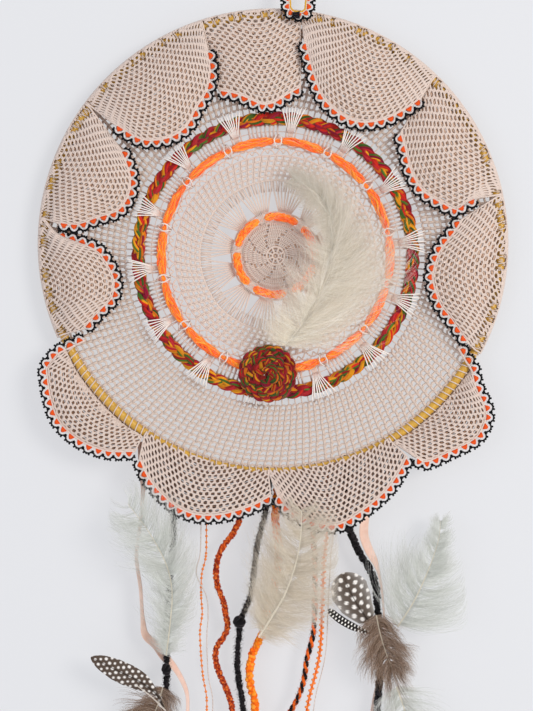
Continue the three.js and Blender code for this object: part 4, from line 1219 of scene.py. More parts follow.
# ---------- Strands: their centre lines, from the hoop down ----------
ROUTES = {
    "ribbon_left": [
        (-84.5, 0, -127.4), (-84, 0, -140), (-83.8, 0, -155.8), (-85.6, 0, -178), (-88.3, 0, -201.2),
        (-85.7, 0, -221.8), (-84.2, 0, -242.4), (-82.6, 1, -252), (-75.4, 3.4, -259.5),
        (-70.6, 3.8, -266.5), (-64.4, 3.4, -273), (-58.9, 1.5, -281.5), (-55.8, 0, -289.5),
        (-55.3, 0, -300.2), (-57, 0, -318), (-60.5, 0, -338), (-61, 0, -360), (-58, 0, -384)],
    "yarn_black_left": [
        (-64.5, -0.5, -137.6), (-64, -0.5, -155), (-64, -0.5, -175.4), (-65, -0.5, -200), (-67, 0, -225),
        (-68.4, 0, -246), (-68.6, 0, -262), (-68.4, 0, -279.6), (-69.5, 0, -296), (-71, 0, -318),
        (-72.5, 0, -342), (-72, 0, -368), (-70.5, 0, -398)],
    "string_bobble": [
        (-42.2, 0, -144.7), (-42.9, 0, -162), (-42.9, 0, -180.5), (-43.4, 0, -202.2), (-45.8, 0, -212),
        (-46.3, 0, -227), (-45.6, 0, -238), (-47, 0, -249), (-46.5, 0, -263), (-45.1, 0, -278.5),
        (-42.8, 0, -292), (-42.9, 0, -306), (-44.8, 0, -330), (-43.6, 0, -352), (-45, 0, -376)],
    "string_pale_left": [
        (-46.5, 0, -143.6), (-46.6, 0, -162), (-46.4, 0, -184), (-47, 0, -200), (-49.4, 0, -212),
        (-42.7, -2.6, -227), (-41.8, 0, -240), (-42.6, 0, -252), (-42.4, 0, -266), (-41.4, 0, -280),
        (-38.9, 0, -293), (-39.4, 0, -308), (-41.1, 0, -330), (-40, 0, -352)],
    "cord_rust": [
        (-21, 0, -149.3), (-21.2, 0, -163), (-21.7, 0, -177.3), (-25.9, 0, -186.7), (-32.2, 0, -195),
        (-35.7, 0, -203.1), (-36.7, 0, -213.4), (-35.7, 0, -220.8), (-32.2, 0, -230.1), (-30, 0, -240.4),
        (-29.3, 0, -247.6), (-32.2, 0, -253.8), (-36.2, 0, -259.8), (-37.2, 0, -266.2), (-35.1, 0, -275.3),
        (-30.5, 0, -285.6), (-26.9, 0, -295.9), (-26.4, 0, -306), (-29, 0, -322), (-33, 0, -340),
        (-34, 0, -358), (-31, 0, -376), (-29.4, 0, -392)],
    "yarn_black_mid": [
        (-2.6, 0, -150.4), (-2.9, 0, -160), (-4.2, 0, -170.2), (-7.3, 0, -182.5), (-9.9, 0, -192.8),
        (-11.6, 0, -205), (-13, 0, -217.7), (-14.5, 0, -226.9), (-18.3, 0, -236.3), (-21.2, 0, -243.4),
        (-21.7, 0, -250.7), (-22.8, 0, -261), (-23, 0, -271.4), (-21.7, 0, -283.7), (-19.9, 0, -294),
        (-19.3, 0, -304), (-20, 0, -326), (-21, 0, -350), (-20, 0, -376), (-18, 0, -402)],
    "yarn_orange": [
        (3.4, 0, -150.7), (2.6, 0, -160), (1.9, 0, -169.2), (1.4, 0, -178.5), (3.4, 0, -192.8),
        (3.2, 0, -208), (0.4, 0, -222), (-3.7, 0, -236.3), (-4.6, 0, -246.7), (-9.3, 0, -255.9),
        (-13.6, 0, -265.2), (-15, 0, -276.5), (-14.4, 0, -285.6), (-12, 0, -294), (-11.5, 0, -304),
        (-9, 0, -320), (-10, 0, -340), (-12.5, 0, -358), (-11, 0, -378)],
    "cord_twisted": [
        (24, 0, -148.3), (25, 0, -166), (26.2, 0, -190), (27, 0, -218), (26.4, 0, -246.6), (25, 0, -255.9),
        (21.7, 0, -268.2), (20.4, 0, -278.5), (17.6, 0, -288.8), (13, 0, -298.2), (7.2, 0, -308),
        (5, 0, -322), (6.5, 0, -340), (8, 0, -362), (7, 0, -388)],
    "cord_picot": [
        (34, 0, -146.4), (35, 0, -163), (35.4, 0, -180.5), (33, 0, -201.2), (32.4, 0, -215.7),
        (31.4, 0, -240.4), (31, 0, -252.7), (29.7, 0, -266.2), (27, 0, -278.5), (24.2, 0, -288.8),
        (21.6, 0, -302), (21.6, 0, -320), (23.6, 0, -342), (24, 0, -366)],
    "string_pale_right": [
        (39, 0, -145.2), (39.6, 0, -163), (39.4, 0, -182), (37.2, 0, -201.2), (36.4, 0, -215.7),
        (35.2, 0, -240.4), (34.8, 0, -252.7), (33.5, 0, -266.2), (30.8, 0, -278.5), (28, 0, -288.8),
        (26, 0, -302), (26.2, 0, -320), (28, 0, -340)],
    "yarn_black_right": [
        (46.5, 0, -145.4), (46.8, 0, -160), (48.1, 0, -180.5), (52.2, 0, -190.8), (56.4, 0, -200.1),
        (61.6, 0, -208.3), (65.7, 0, -218.7), (67, 0, -229), (67.7, 0, -242), (69, 0, -262),
        (68.6, 0, -280), (67.4, 0, -296), (66.6, 0, -314), (68, 0, -336), (70.5, 0, -360), (71, 0, -386)],
    "ribbon_right": [
        (60.5, 0, -140.2), (60, 0, -158), (59.3, 0, -174), (58.5, 0.8, -182.5), (58.8, 2.6, -188.8),
        (61.6, 4.2, -197), (65.7, 4.4, -205.3), (68, 4.4, -212.5), (69.9, 4.4, -222.8), (71.2, 4.4, -236),
        (72, 4.4, -256), (69, 4.4, -276), (65.2, 4.4, -292), (63, 3, -306), (60.5, 1.5, -326),
        (61.5, 0.5, -348), (64, 0, -372)],
}
# each strand: body, slot, diameter, far end
STRANDS = {
    "ribbon_left": ("tassel_left", "satin_peach", 6.0, "bare"),
    "yarn_black_left": ("tassel_left", "yarn_black", 4.4, "bare"),
    "string_bobble": ("strings_left", "cotton_orange", 1.6, "bare"),
    "string_pale_left": ("strings_left", "string_pale", 1.0, "bare"),
    "cord_rust": ("rust_cord", "cord_rust", 4.2, "knot"),
    "yarn_black_mid": ("tassel_mid", "yarn_black", 4.0, "bare"),
    "yarn_orange": ("tassel_mid", "cotton_orange", 6.0, "bare"),
    "cord_twisted": ("tassel_mid", "yarn_black", 4.2, "knot"),
    "cord_picot": ("tassel_mid", "cotton_orange", 3.0, "knot"),
    "string_pale_right": ("tassel_mid", "string_pale", 1.0, "bare"),
    "yarn_black_right": ("tassel_right", "yarn_black", 5.0, "bare"),
    "ribbon_right": ("tassel_right", "satin_peach", 6.0, "bare"),
}
BLACKS = ("#141114", "#1d191c", "#0b090b", "#2a2529")
RUSTS = ("#d65c1e", "#8f2a10", "#e6762e", "#b8461b", "#9c3016")
ORANGES = ("#ff9020", "#ff7e14", "#fa6e10", "#ffa238")
FLAMES = ("#f07a30", "#e2642a", "#f98c40")


def world(points):
    """Points in metres in the row frame, from millimetres about the hoop's centre."""
    return np.asarray(points, float) * MM + HOOP_CENTRE


def tie(name, radius, dye):
    """The strand's own top, laid over the hoop behind the lobe."""
    body, slot = STRANDS[name][:2]
    x = ROUTES[name][0][0]
    radial = np.array([x, 0, -math.sqrt(HOOP_R ** 2 - x * x)]) / HOOP_R
    tangent = np.cross(radial, FRONT)
    reach = WRAP_R + 0.55 + radius
    a = np.radians(np.linspace(-42, -138, 16))[:, None]
    threads = Threads()
    for shift in (-1, 1):
        loop = radial * HOOP_R + reach * (np.cos(a) * radial + np.sin(a) * FRONT)
        loop = loop + tangent * shift * radius * 1.05
        threads.add(loop, radius, dye)
    return threads.put(f"{name}_tie", "dyed_wool", body, slot)


def wound_knot(name, centre, radius, stretch, dyes, body, slot, node):
    """A knot of a few wound turns of yarn."""
    threads = Threads()
    a = np.linspace(0, 2 * np.pi, 24, endpoint=False)
    wound = ((15, 0, 0.62), (62, 40, 0.6), (-48, 80, 0.58), (85, -30, 0.45))
    for k, (tilt, roll, part) in enumerate(wound):
        t, w = math.radians(tilt), math.radians(roll)
        ring = np.stack([np.cos(a), np.sin(a) * math.cos(t), np.sin(a) * math.sin(t)], -1)
        ring = ring @ np.array([[math.cos(w), math.sin(w), 0], [-math.sin(w), math.cos(w), 0], [0, 0, 1]])
        ring = ring * np.array([1, 1, stretch]) * radius * part
        threads.add(np.asarray(centre) + ring, radius * 0.36, dyes[k % len(dyes)], sides=8, closed=True)
    return threads.put(name, "dyed_wool", body, slot, node)


def hang(name, made, path, pieces):
    body, slot, diameter, far_end = STRANDS[name]
    put(made, body, slot, name)
    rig.cord(made, exit=world(path)[0], length=path_length(path) * MM, diameter=diameter * MM,
            far_end=far_end, stiffness="limp", lay="hanging", path=world(path), with_pieces=pieces)


def strand(name, threads, path, pieces):
    """Builds one yarn, cord or string and hangs it."""
    made = threads.build(name + ("_plies" if "yarn" in name else "_yarn"), "dyed_wool")
    hang(name, made, path, pieces)


def haired(name, path, radius, dyes, seed, hairs, hair_mm, knots):
    """What goes with a woolly strand: its tie, its knots and its halo of loose fibres."""
    body, slot = STRANDS[name][:2]
    pieces = [tie(name, min(radius * 0.55, 1.3), dyes[0]), *knots]
    pieces.append(fuzz(f"{name}_halo", path, radius, hairs, hair_mm, dyes, "dyed_wool", body, slot,
                       seed + 50))
    return pieces


def twisted_yarn(name, radius, plies, pitch, dyes, seed, hairs, hair_mm, knots):
    """A yarn of twisted plies with a halo of loose fibres."""
    rng = np.random.default_rng(seed)
    path = smooth_path(ROUTES[name], step=1.0)
    dyes = tints(dyes)
    threads = Threads()
    stops = np.arange(0, len(path) + 6, 6)
    lumps = 1 + 0.10 * np.interp(np.arange(len(path)), stops, rng.normal(0, 1, len(stops)))
    bundle(threads, path, radius, plies, pitch, dyes, rng, sides=7, swell=lumps)
    strand(name, threads, path, haired(name, path, radius, dyes, seed, hairs, hair_mm, knots))


def chenille(name, radius, dyes, seed, bump=0.5, lumps=3.0, hairs=2600, hair_mm=1.0, knots=()):
    """Crocheted fuzzy cord: a core with a crust of small loops, each its own dye."""
    rng = np.random.default_rng(seed)
    path = smooth_path(ROUTES[name], step=1.0)
    dyes = tints(dyes)
    threads = Threads()
    bundle(threads, path, radius * 0.8, 4, 9, dyes, rng, sides=6)
    count = int(path_length(path) * lumps)
    at = rng.uniform(0, 1, count) * (len(path) - 1)
    fields = (path, *frames_along(path))
    spot, _, across, front = (np.stack([np.interp(at, np.arange(len(path)), f[:, k]) for k in range(3)], -1)
                              for f in fields)
    a = rng.uniform(0, 2 * np.pi, count)[:, None]
    out = radius * (1 - 0.55 * bump)
    threads.balls(spot + out * (np.cos(a) * across + np.sin(a) * front),
                  radius * bump * rng.uniform(0.75, 1.25, count), dyes[rng.integers(0, len(dyes), count)])
    strand(name, threads, path, haired(name, path, radius, dyes, seed, hairs, hair_mm, knots))


def ribbon(name, twists):
    """Satin ribbon that turns as it hangs. twists: (share of the length, degrees) from flat to the front."""
    path = smooth_path(ROUTES[name], step=1.2)
    share = np.linspace(0, 1, len(path))
    angle = np.radians(np.interp(share, *zip(*twists)))
    kernel = np.hanning(15)
    angle = np.convolve(np.pad(angle, 7, mode="edge"), kernel / kernel.sum(), "valid")[:, None]
    _, across, front = frames_along(path)
    wide = np.cos(angle) * across + np.sin(angle) * front
    normal = np.cos(angle) * front - np.sin(angle) * across
    w = np.linspace(-1, 1, 9)
    half, curl, thick = 3.0, 0.55, 0.16
    low = path[:, None] + wide[:, None] * (half * w)[:, None]
    low = low + normal[:, None] * (curl * (w * w - 0.4))[:, None]
    top = low + normal[:, None] * thick
    loop = np.concatenate([top, low[:, ::-1]], 1)
    index = np.arange(loop.shape[0] * loop.shape[1]).reshape(loop.shape[:2])
    after = np.roll(index, -1, 1)
    quads = np.stack([index[:-1], after[:-1], after[1:], index[1:]], -1).reshape(-1, 4)
    made = mesh_object(f"{name}_satin", loop.reshape(-1, 3), [quads], finish="satin_ribbon_peach")
    hang(name, made, path, [tie(name, 0.7, linear("#efc0a6"))])


def pale_string(name):
    """Thin two-ply string with small stitches."""
    path = smooth_path(ROUTES[name], step=0.8)
    threads = Threads()
    bundle(threads, path, 0.45, 2, 2.6, tints(["#dcd0c8", "#cdbfb5"]), np.random.default_rng(3))
    threads.balls(path[1::3], 0.55, linear("#dcd0c8"))
    strand(name, threads, path, [tie(name, 0.4, linear("#ded3cc"))])


def bobble_string():
    """Thin orange chain with a small bobble at every few stitches."""
    path = smooth_path(ROUTES["string_bobble"], step=0.65)
    threads = Threads()
    dyes = tints(["#f08a44", "#dd6f34"])
    bundle(threads, path, 0.42, 2, 2.2, dyes, np.random.default_rng(4))
    gaps = np.cumsum(np.random.default_rng(9).integers(3, 7, len(path) // 4))
    threads.balls(path[gaps[gaps < len(path)]], 0.92, dyes[0], rings=5, sides=8)
    strand("string_bobble", threads, path, [tie("string_bobble", 0.5, dyes[0])])


def picot_cord(knot):
    """Orange chain with a picot to each side in turn."""
    path = smooth_path(ROUTES["cord_picot"], step=0.9)
    threads = Threads()
    dyes = tints(FLAMES)
    bundle(threads, path, 0.85, 3, 5, dyes, np.random.default_rng(6))
    _, across, _ = frames_along(path)
    side = np.where(np.arange(len(path[::2])) % 2, 1.0, -1.0)[:, None]
    threads.balls(path[::2] + across[::2] * side * 0.95, 0.88, linear("#f4904a"), rings=5, sides=8)
    strand("cord_picot", threads, path, [tie("cord_picot", 0.7, dyes[0]), knot])


def strands():
    """All the yarns, cords, strings and ribbons under the hoop."""
    black, rust, flame = tints(BLACKS), tints(RUSTS), tints(FLAMES)
    knot_rust = wound_knot("rust_end_knot", (-29.3, 0, -397.5), 4, 1.1, rust, "rust_cord", "cord_rust",
                           "knot_rust")
    knot_mid = wound_knot("black_mid_knot", (-21.6, -6.9, -242.4), 4.4, 1, black, "tassel_mid", "yarn_black",
                          "knot_black_mid")
    knot_twisted = wound_knot("twisted_end_knot", (6.9, 0, -393.4), 4, 1.1, black, "tassel_mid",
                              "yarn_black", "knot_twisted")
    knot_picot = wound_knot("picot_end_knot", (24.1, 0, -370.6), 3.2, 1.1, flame, "tassel_mid",
                            "cotton_orange", "knot_picot")
    binding = wound_knot("left_binding", (-68.4, -5.9, -273), 3.3, 1.6, black, "tassel_left", "yarn_black",
                         "binding_left")
    chenille("yarn_black_left", 1.9, BLACKS, 31, hair_mm=2.0, knots=(binding,))
    chenille("yarn_black_mid", 1.8, BLACKS, 32, hairs=3000, hair_mm=1.9, knots=(knot_mid,))
    chenille("yarn_black_right", 2.2, BLACKS, 33, bump=0.6, hairs=2200, hair_mm=1.4)
    chenille("cord_rust", 1.9, RUSTS, 34, bump=0.42, lumps=5, hair_mm=0.9, knots=(knot_rust,))
    chenille("yarn_orange", 2.35, ORANGES, 35, bump=0.62, lumps=3.2, hair_mm=1.3)
    twisted_yarn("cord_twisted", 1.95, 2, 8.5, ("#120f12", "#e8641c"), 36, hairs=1800, hair_mm=1.2,
                 knots=(knot_twisted,))
    picot_cord(knot_picot)
    bobble_string()
    pale_string("string_pale_left")
    pale_string("string_pale_right")
    ribbon("ribbon_left", [(0, 20), (0.06, 20), (0.12, 72), (0.42, 74), (0.47, 45), (0.53, 25), (0.58, 62),
                           (0.65, 72), (1, 68)])
    ribbon("ribbon_right", [(0, 66), (0.1, 62), (0.15, 25), (0.2, 10), (0.26, 25), (0.31, 70), (0.45, 78),
                            (0.7, 66), (1, 60)])


# ---------- Feathers ----------
def along_quill(quill, share):
    """Position and directions at shares of a quill's length."""
    line = smooth_path(quill, count=121)
    at = np.clip(share, 0, 1) * 120
    fields = (line, *frames_along(line))
    return [np.stack([np.interp(at, np.arange(121), f[:, k]) for k in range(3)], -1) for f in fields]


def down(threads, quill, reach, count, dyes, rng, low, high, lean=(70, 32), wave=2.2, radius=0.09,
         share=(0.0, 1.0), side=None, droop=0.0, fade=(1.0, 1.0)):
    """Soft barbs along a quill. reach: how far they spread at even shares of its length. low, high: the box
    that the tips keep to. lean: degrees between a barb and the quill at the barb's root and at its tip."""
    # barbs cling together in tufts that share a place, a length and a direction
    tufts = max(4, count // 16)
    tuft = rng.integers(0, tufts, count)
    s = np.clip(rng.uniform(*share, tufts)[tuft] + rng.normal(0, 0.012, count), *share)
    spot, along, across, front = along_quill(quill, s)
    hand = rng.choice([-1.0, 1.0], tufts)[tuft] if side is None else np.full(count, float(side))
    spread = np.interp(s, np.linspace(0, 1, len(reach)), reach)
    spread = spread * rng.uniform(0.6, 1.15, tufts)[tuft] * rng.uniform(0.7, 1.1, count)
    points = 9
    t = np.linspace(0, 1, points)
    turn = np.radians(lean[0] + (lean[1] - lean[0]) * t + rng.normal(0, 11, tufts)[tuft][:, None]
                      + rng.normal(0, 5, (count, 1)))
    length = spread / np.mean(np.sin(np.radians(np.linspace(*lean, 5))))
    step = (length / (points - 1))[:, None, None]
    heading = np.cos(turn)[..., None] * along[:, None]
    heading = heading + (np.sin(turn) * hand[:, None])[..., None] * across[:, None]
    lift = rng.normal(0.05, 0.3, tufts)[tuft] + rng.normal(0, 0.06, count)
    heading = heading + front[:, None] * lift[:, None, None] + np.array([0, 0, -droop]) * t[:, None]
    path = np.cumsum(heading * step, 1) - heading[:, :1] * step + spot[:, None]
    phase = (rng.uniform(0, 2 * np.pi, (tufts, 1, 3))[tuft] + rng.normal(0, 0.7, (count, 1, 3)))
    speed = rng.uniform(0.5, 1.3, (tufts, 1, 3))[tuft]
    path += wave * 0.8 * np.sin(2 * np.pi * speed * t[:, None] + phase) * (t ** 1.2)[:, None]
    # barbs that reach the box bend along it
    soft = np.array([7.0, 2.5, 7.0])
    low, high = np.array(low, float) + soft, np.array(high, float) - soft
    path = np.where(path > high, high + soft * (1 - np.exp(-np.maximum(path - high, 0) / soft)), path)
    path = np.where(path < low, low - soft * (1 - np.exp(-np.maximum(low - path, 0) / soft)), path)
    taper = radius * (1.1 - 0.75 * t)
    tone = np.clip(dyes[rng.integers(0, len(dyes), count)] * rng.uniform(0.94, 1.05, (count, 1))
                   * np.interp(s, (0, 1), fade)[:, None], 0, 1)
    threads.add(path, taper, tone, sides=3)


def quill_tube(threads, quill, root, tip=0.15, dye="#efe6d2"):
    """The bare shaft, from its root to its tip."""
    line = smooth_path(quill, count=60)
    threads.add(line, np.linspace(root, tip, 60), linear(dye), sides=7)


def vane(key, body, shaft_r, reach, spots, dyes, soft=0.0):
    """A firm feather vane: two halves of close barbs, dark with pale bars or staggered spots. spots: the
    spots' pitch, or "bars". soft: how much the outer barbs pale."""
    quill = QUILLS[key]
    shaft = Threads()
    quill_tube(shaft, quill, shaft_r, 0.15, "#3a322c")
    shaft.put(f"{key}_shaft", "marabou_down", body, "feather_guinea")
    rows, half, thick, cup = 170, 13, 0.3, 0.1
    s = np.linspace(0, 1, rows)
    spot, along, across, front = along_quill(quill, s)
    wide = np.interp(s, np.linspace(0, 1, len(reach)), reach)
    wide = wide * np.sqrt(1 - np.clip((s - 0.86) / 0.14, 0, 0.995) ** 2)
    w = np.linspace(-1, 1, 2 * half + 1)
    # barbs slope towards the tip, so the far edge of each row stands further on, less so near the tip
    slope = 0.55 * np.clip(1.7 - 1.7 * s, 0, 1)[:, None] * wide[:, None] * np.abs(w)
    sheet = spot[:, None] + across[:, None] * (wide[:, None] * w)[..., None]
    sheet = sheet + along[:, None] * slope[..., None]
    relief = -cup * wide[:, None] * w * w + 0.05 * np.cos(rows * 3.1 * s[:, None])
    sheet = sheet + front[:, None] * relief[..., None]
    run = s * path_length(smooth_path(quill, count=60))
    along_mm = run[:, None] + slope
    across_mm = wide[:, None] * w
    dark, pale = tints(dyes)
    if spots == "bars":
        share = 0.5 + 0.5 * np.sin(2 * np.pi * (along_mm + 0.6 * np.sign(w)) / 2.3)
        share = np.clip((share - 0.62) * 5, 0, 1) * (np.abs(across_mm) > 0.55) * (np.abs(across_mm) < 1.9)
    else:
        pitch = spots
        row = np.round(along_mm / (pitch * 0.86))
        da = along_mm - row * pitch * 0.86
        shift = 0.5 * pitch * (row % 2)
        dw = (across_mm - shift + pitch / 2) % pitch - pitch / 2
        size = 0.23 + 0.035 * np.sin(5.1 * row + 2.3 * np.round((across_mm - shift) / pitch))
        share = np.clip((pitch * size - np.hypot(da * 0.9, dw + 0.25 * np.sin(3.7 * row))) * 3 + 0.5, 0, 1)
    share = np.maximum(share, soft * np.abs(w) ** 3)
    tint = dark + (pale - dark) * share[..., None]
    back = sheet + FRONT * -thick
    points = np.concatenate([sheet.reshape(-1, 3), back.reshape(-1, 3)])
    index = np.arange(rows * w.size).reshape(rows, w.size)
    face = np.stack([index[:-1, :-1], index[1:, :-1], index[1:, 1:], index[:-1, 1:]], -1).reshape(-1, 4)
    rim = np.concatenate([index[0], index[1:, -1], index[-1, -2::-1], index[-2:0:-1, 0]])
    after = np.roll(rim, -1)
    wall = np.stack([rim, after, after + index.size, rim + index.size], -1)
    flat = np.concatenate([tint.reshape(-1, 3), tint.reshape(-1, 3)])
    faces = [np.concatenate([face[:, ::-1], face + index.size, wall[:, ::-1]])]
    put(mesh_object(f"{key}_vane", points, faces, flat, "feather_vane"), body, "feather_guinea", key)


QUILLS = {
    "feather_centre": [(7.1, -9.5, -65.8), (20.6, -12, -49), (32, -14, -27), (37, -15, -4), (36, -15, 16),
                       (28, -13.5, 31), (12, -12, 41)],
    "feather_white_left": [(-68.4, -6.6, -264), (-65.7, -7.6, -242), (-64.6, -8.2, -223),
                           (-67.6, -9.4, -207), (-79, -14.5, -184), (-92, -17.5, -166)],
    "feather_guinea_left": [(-69.5, -11.5, -297), (-74, -12.6, -288), (-84, -13, -280), (-98, -13, -273),
                            (-116, -13, -264)],
    "feather_brown_left": [(-70.5, -8.6, -284), (-74, -8.8, -296), (-80, -8.4, -308), (-86, -8, -322)],
    "feather_cream_mid": [(-9.2, -8.4, -252), (-0.4, -9.6, -238), (7.6, -10.6, -224), (14, -12.4, -206),
                          (17.4, -15.5, -188), (18, -18, -170)],
    "feather_guinea_right": [(62, -6.4, -243), (55, -7.2, -233), (48.4, -7.4, -221), (44.6, -7.4, -211)],
    "feather_barred_right": [(62.4, -10.2, -249.4), (52, -10.6, -245.4), (43, -10.6, -240.4),
                             (35, -10.4, -234)],
    "feather_brown_right": [(66, -7.8, -238), (68, -9.4, -248), (71.5, -9.4, -260), (76, -8.6, -272)],
    "feather_white_right": [(80, -3.6, -246), (90, -5, -230), (100, -6, -208), (106, -6, -190),
                            (107.6, -5, -178)],
    "feather_white_low": [(79, -6, -284), (84, -6, -298), (88, -6, -316), (91, -6, -338)],
}
WHITES = ("#e9eae6", "#dcded9", "#f3f4f1", "#ced0ca")
CREAMS = ("#f3eee4", "#e8e1d5", "#faf7f0", "#dcd5c8")
BROWNS = ("#8f7460", "#b39c8a", "#745a46", "#cbb9a8", "#9c816b")


def feather(key, body, slot, shaft, dyes, rng, box, layers, name=None, spare=None):
    """One down feather. shaft: radius at root and tip, and dye. box: low and high corners for its tips.
    layers: the barbs' reach, their number and their lie, layer by layer. spare: a second, bare quill."""
    threads = Threads()
    quill_tube(threads, QUILLS[key], *shaft)
    for reach, count, lie in layers:
        down(threads, QUILLS[key], reach, count, dyes, rng, *box, **lie)
    if spare:
        quill_tube(threads, spare, 0.5, 0.25, "#eae2d8")
    threads.put(name or f"{key}_down", "marabou_down", body, slot, key)


def feather_centre():
    """The large curled feather on the doily. Most of its barbs sweep to the right."""
    fade = (1.07, 0.9)
    strong = dict(side=1, wave=2.4, fade=fade)
    weak = dict(side=-1, wave=2.4, radius=0.085, fade=fade)
    feather("feather_centre", "hoop", "feather_cream", (0.7, 0.12, "#e9e2d6"), tints(CREAMS),
            np.random.default_rng(61), ((-14, -27, -90), (92, -8.0, 66)), [
                ((16, 34, 39, 29, 17, 11, 9, 6), 3600, dict(strong, lean=(62, 10), share=(0.01, 1))),
                ((20, 30, 30, 25, 18, 17, 15, 10), 1600, dict(weak, lean=(100, 52), share=(0.02, 1))),
                ((24, 28, 20), 500, dict(weak, lean=(112, 70), share=(0.0, 0.3))),
                ((6, 12, 14, 12, 9), 1500, dict(lean=(35, 5), wave=2.0, share=(0.0, 0.9), fade=fade))],
            name="feather_centre_marabou")


def feathers_left():
    """The left tassel's white, guinea and brown feathers."""
    rng = np.random.default_rng(62)
    feather("feather_white_left", "tassel_left", "feather_cream", (0.6,), tints(WHITES), rng,
            ((-106, -24, -272), (-47, -5.2, -148)), [
                ((6, 16, 21, 23, 21, 14), 2900, dict(lean=(64, 24))),
                ((10, 15, 15), 600, dict(lean=(85, 50), share=(0, 0.4)))])
    vane("feather_guinea_left", "tassel_left", 0.55, (0.5, 1.4, 5.8, 7.0, 6.8, 5.2, 2.8), 3.6,
         ("#54463c", "#e9e5df"))
    feather("feather_brown_left", "tassel_left", "feather_brown", (0.5,), tints(BROWNS), rng,
            ((-116, -20, -348), (-54, -5.2, -272)), [
                ((12, 22, 24, 16), 2200, dict(lean=(85, 40), droop=0.2, radius=0.11))],
            spare=[(-68.3, -14.5, -297.7), (-78, -15.2, -288), (-87.6, -15, -280.9)])


def feather_mid():
    """The broad cream feather between the strands, with loose down at its foot."""
    feather("feather_cream_mid", "tassel_mid", "feather_cream", (0.85, 0.3, "#f6f1e2"),
            tints(CREAMS) * np.array([0.93, 0.91, 0.88]), np.random.default_rng(63),
            ((-25, -24, -270), (42, -6.0, -158)), [
                ((12, 28, 32, 28, 20, 11), 3200, {}),
                ((16, 32, 30), 1100, dict(lean=(98, 62), share=(0, 0.6), wave=2.4, droop=0.25))])


def feathers_right():
    """The right tassel's guinea, barred, brown and white feathers."""
    rng = np.random.default_rng(64)
    vane("feather_guinea_right", "tassel_right", 0.5, (6, 11, 12.5, 10.5, 6), 5.4, ("#5a4f46", "#efebe5"),
         0.35)
    vane("feather_barred_right", "tassel_right", 0.5, (0.8, 2.4, 2.6, 2.2), "bars", ("#1d1a19", "#f1eee8"))
    feather("feather_brown_right", "tassel_right", "feather_brown", (0.5,), tints(BROWNS), rng,
            ((44, -22, -306), (96, -5.6, -224)), [
                ((12, 16, 15, 10), 2300, dict(lean=(78, 22), droop=0.15, radius=0.1)),
                ((6, 8), 300, dict(lean=(30, 5), wave=2.0, share=(0.75, 1), radius=0.1))])
    for key, reach, box, count in (
            ("feather_white_right", (34, 35, 23, 12, 8, 5), ((56, -18, -274), (124, -2.0, -164)), 3200),
            ("feather_white_low", (16, 26, 26, 14), ((56, -16, -354), (116, -2.6, -266)), 2100)):
        feather(key, "tassel_right", "feather_cream", (0.55,), tints(WHITES), rng, box,
                [(reach, count, dict(lean=(74, 20)))])


# ---------- Stage ----------
def wall_material():
    """Smooth painted wall. Its back lets everything through, so that the object shows from behind."""
    painted, tree, output = new_material("painted_wall")
    colour = tuple(bpy.context.scene.dream_catcher_colours.wall)
    shader = add_node(tree, "ShaderNodeBsdfPrincipled",
                      inputs={"Base Color": (*[0.3 * c for c in colour], 1), "Roughness": 0.9,
                              "Specular IOR Level": 0.2, "Emission Color": (*colour, 1),
                              "Emission Strength": 0.63})
    clear = add_node(tree, "ShaderNodeBsdfTransparent")
    facing = add_node(tree, "ShaderNodeNewGeometry")
    blend = add_node(tree, "ShaderNodeMixShader", links={"Fac": facing.outputs["Backfacing"]})
    tree.links.new(shader.outputs["BSDF"], blend.inputs[1])
    tree.links.new(clear.outputs["BSDF"], blend.inputs[2])
    tree.links.new(blend.outputs["Shader"], output.inputs["Surface"])
    return painted


def plane(name, corners, finish):
    """One four-cornered sheet of the room."""
    mesh = bpy.data.meshes.new(name)
    mesh.from_pydata([tuple(world(c)) for c in corners], [], [(0, 1, 2, 3)])
    mesh.materials.append(finish)
    made = bpy.data.objects.new(name, mesh)
    bpy.context.collection.objects.link(made)
    return made


def light(name, place, aim, size, power, colour):
    """A round soft light, placed and aimed in metres about the hoop's centre."""
    data = bpy.data.lights.new(name, "AREA")
    data.shape = "DISK"
    data.size = size
    data.energy = power
    data.color = linear(colour)
    lamp = bpy.data.objects.new(name, data)
    lamp.location = HOOP_CENTRE + np.array(place)
    lamp.rotation_euler = Vector(np.array(aim) - np.array(place)).to_track_quat("-Z", "Y").to_euler()
    bpy.context.collection.objects.link(lamp)
    return lamp


def camera():
    """The view: level, a little above the object's middle, with the top of the loop cut by the frame."""
    data = bpy.data.cameras.new("front_camera")
    data.lens = 85
    data.sensor_width = 36
    eye = bpy.data.objects.new("front_camera", data)
    eye.location = world((-4.2, -1081.4, -71.9))
    eye.rotation_euler = (math.radians(90), 0, 0)
    bpy.context.collection.objects.link(eye)
    bpy.context.scene.camera = eye
    bpy.context.scene.view_settings.view_transform = "Standard"


def stage():
    """The wall just behind the object, the floor below it, and the window's light with the room's fill."""
    finish = wall_material()
    half, back, front, low, high = 1500, 12, -2400, -540, 1300
    foot = [(half, back, low), (-half, back, low)]
    wall = plane("wall", [*foot[::-1], (half, back, high), (-half, back, high)], finish)
    floor = plane("floor", [(-half, front, low), (half, front, low), *foot], finish)
    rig.stage(wall, floor)
    scene = bpy.context.scene
    scene.world = scene.world or bpy.data.worlds.new("room_light")
    scene.world.use_nodes = True
    room = scene.world.node_tree.nodes["Background"]
    room.inputs["Color"].default_value = (*linear("#f4f6ff"), 1)
    room.inputs["Strength"].default_value = 0.62
    lamps = [
        light("window_light", (1.05, -1.45, 0.3), (0, 0, -0.05), 0.8, 18, "#fffaf3"),
        light("room_fill", (-1.2, -1.6, 0.1), (0, 0, -0.1), 1.4, 6, "#eef3ff"),
    ]
    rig.stage(*lamps)


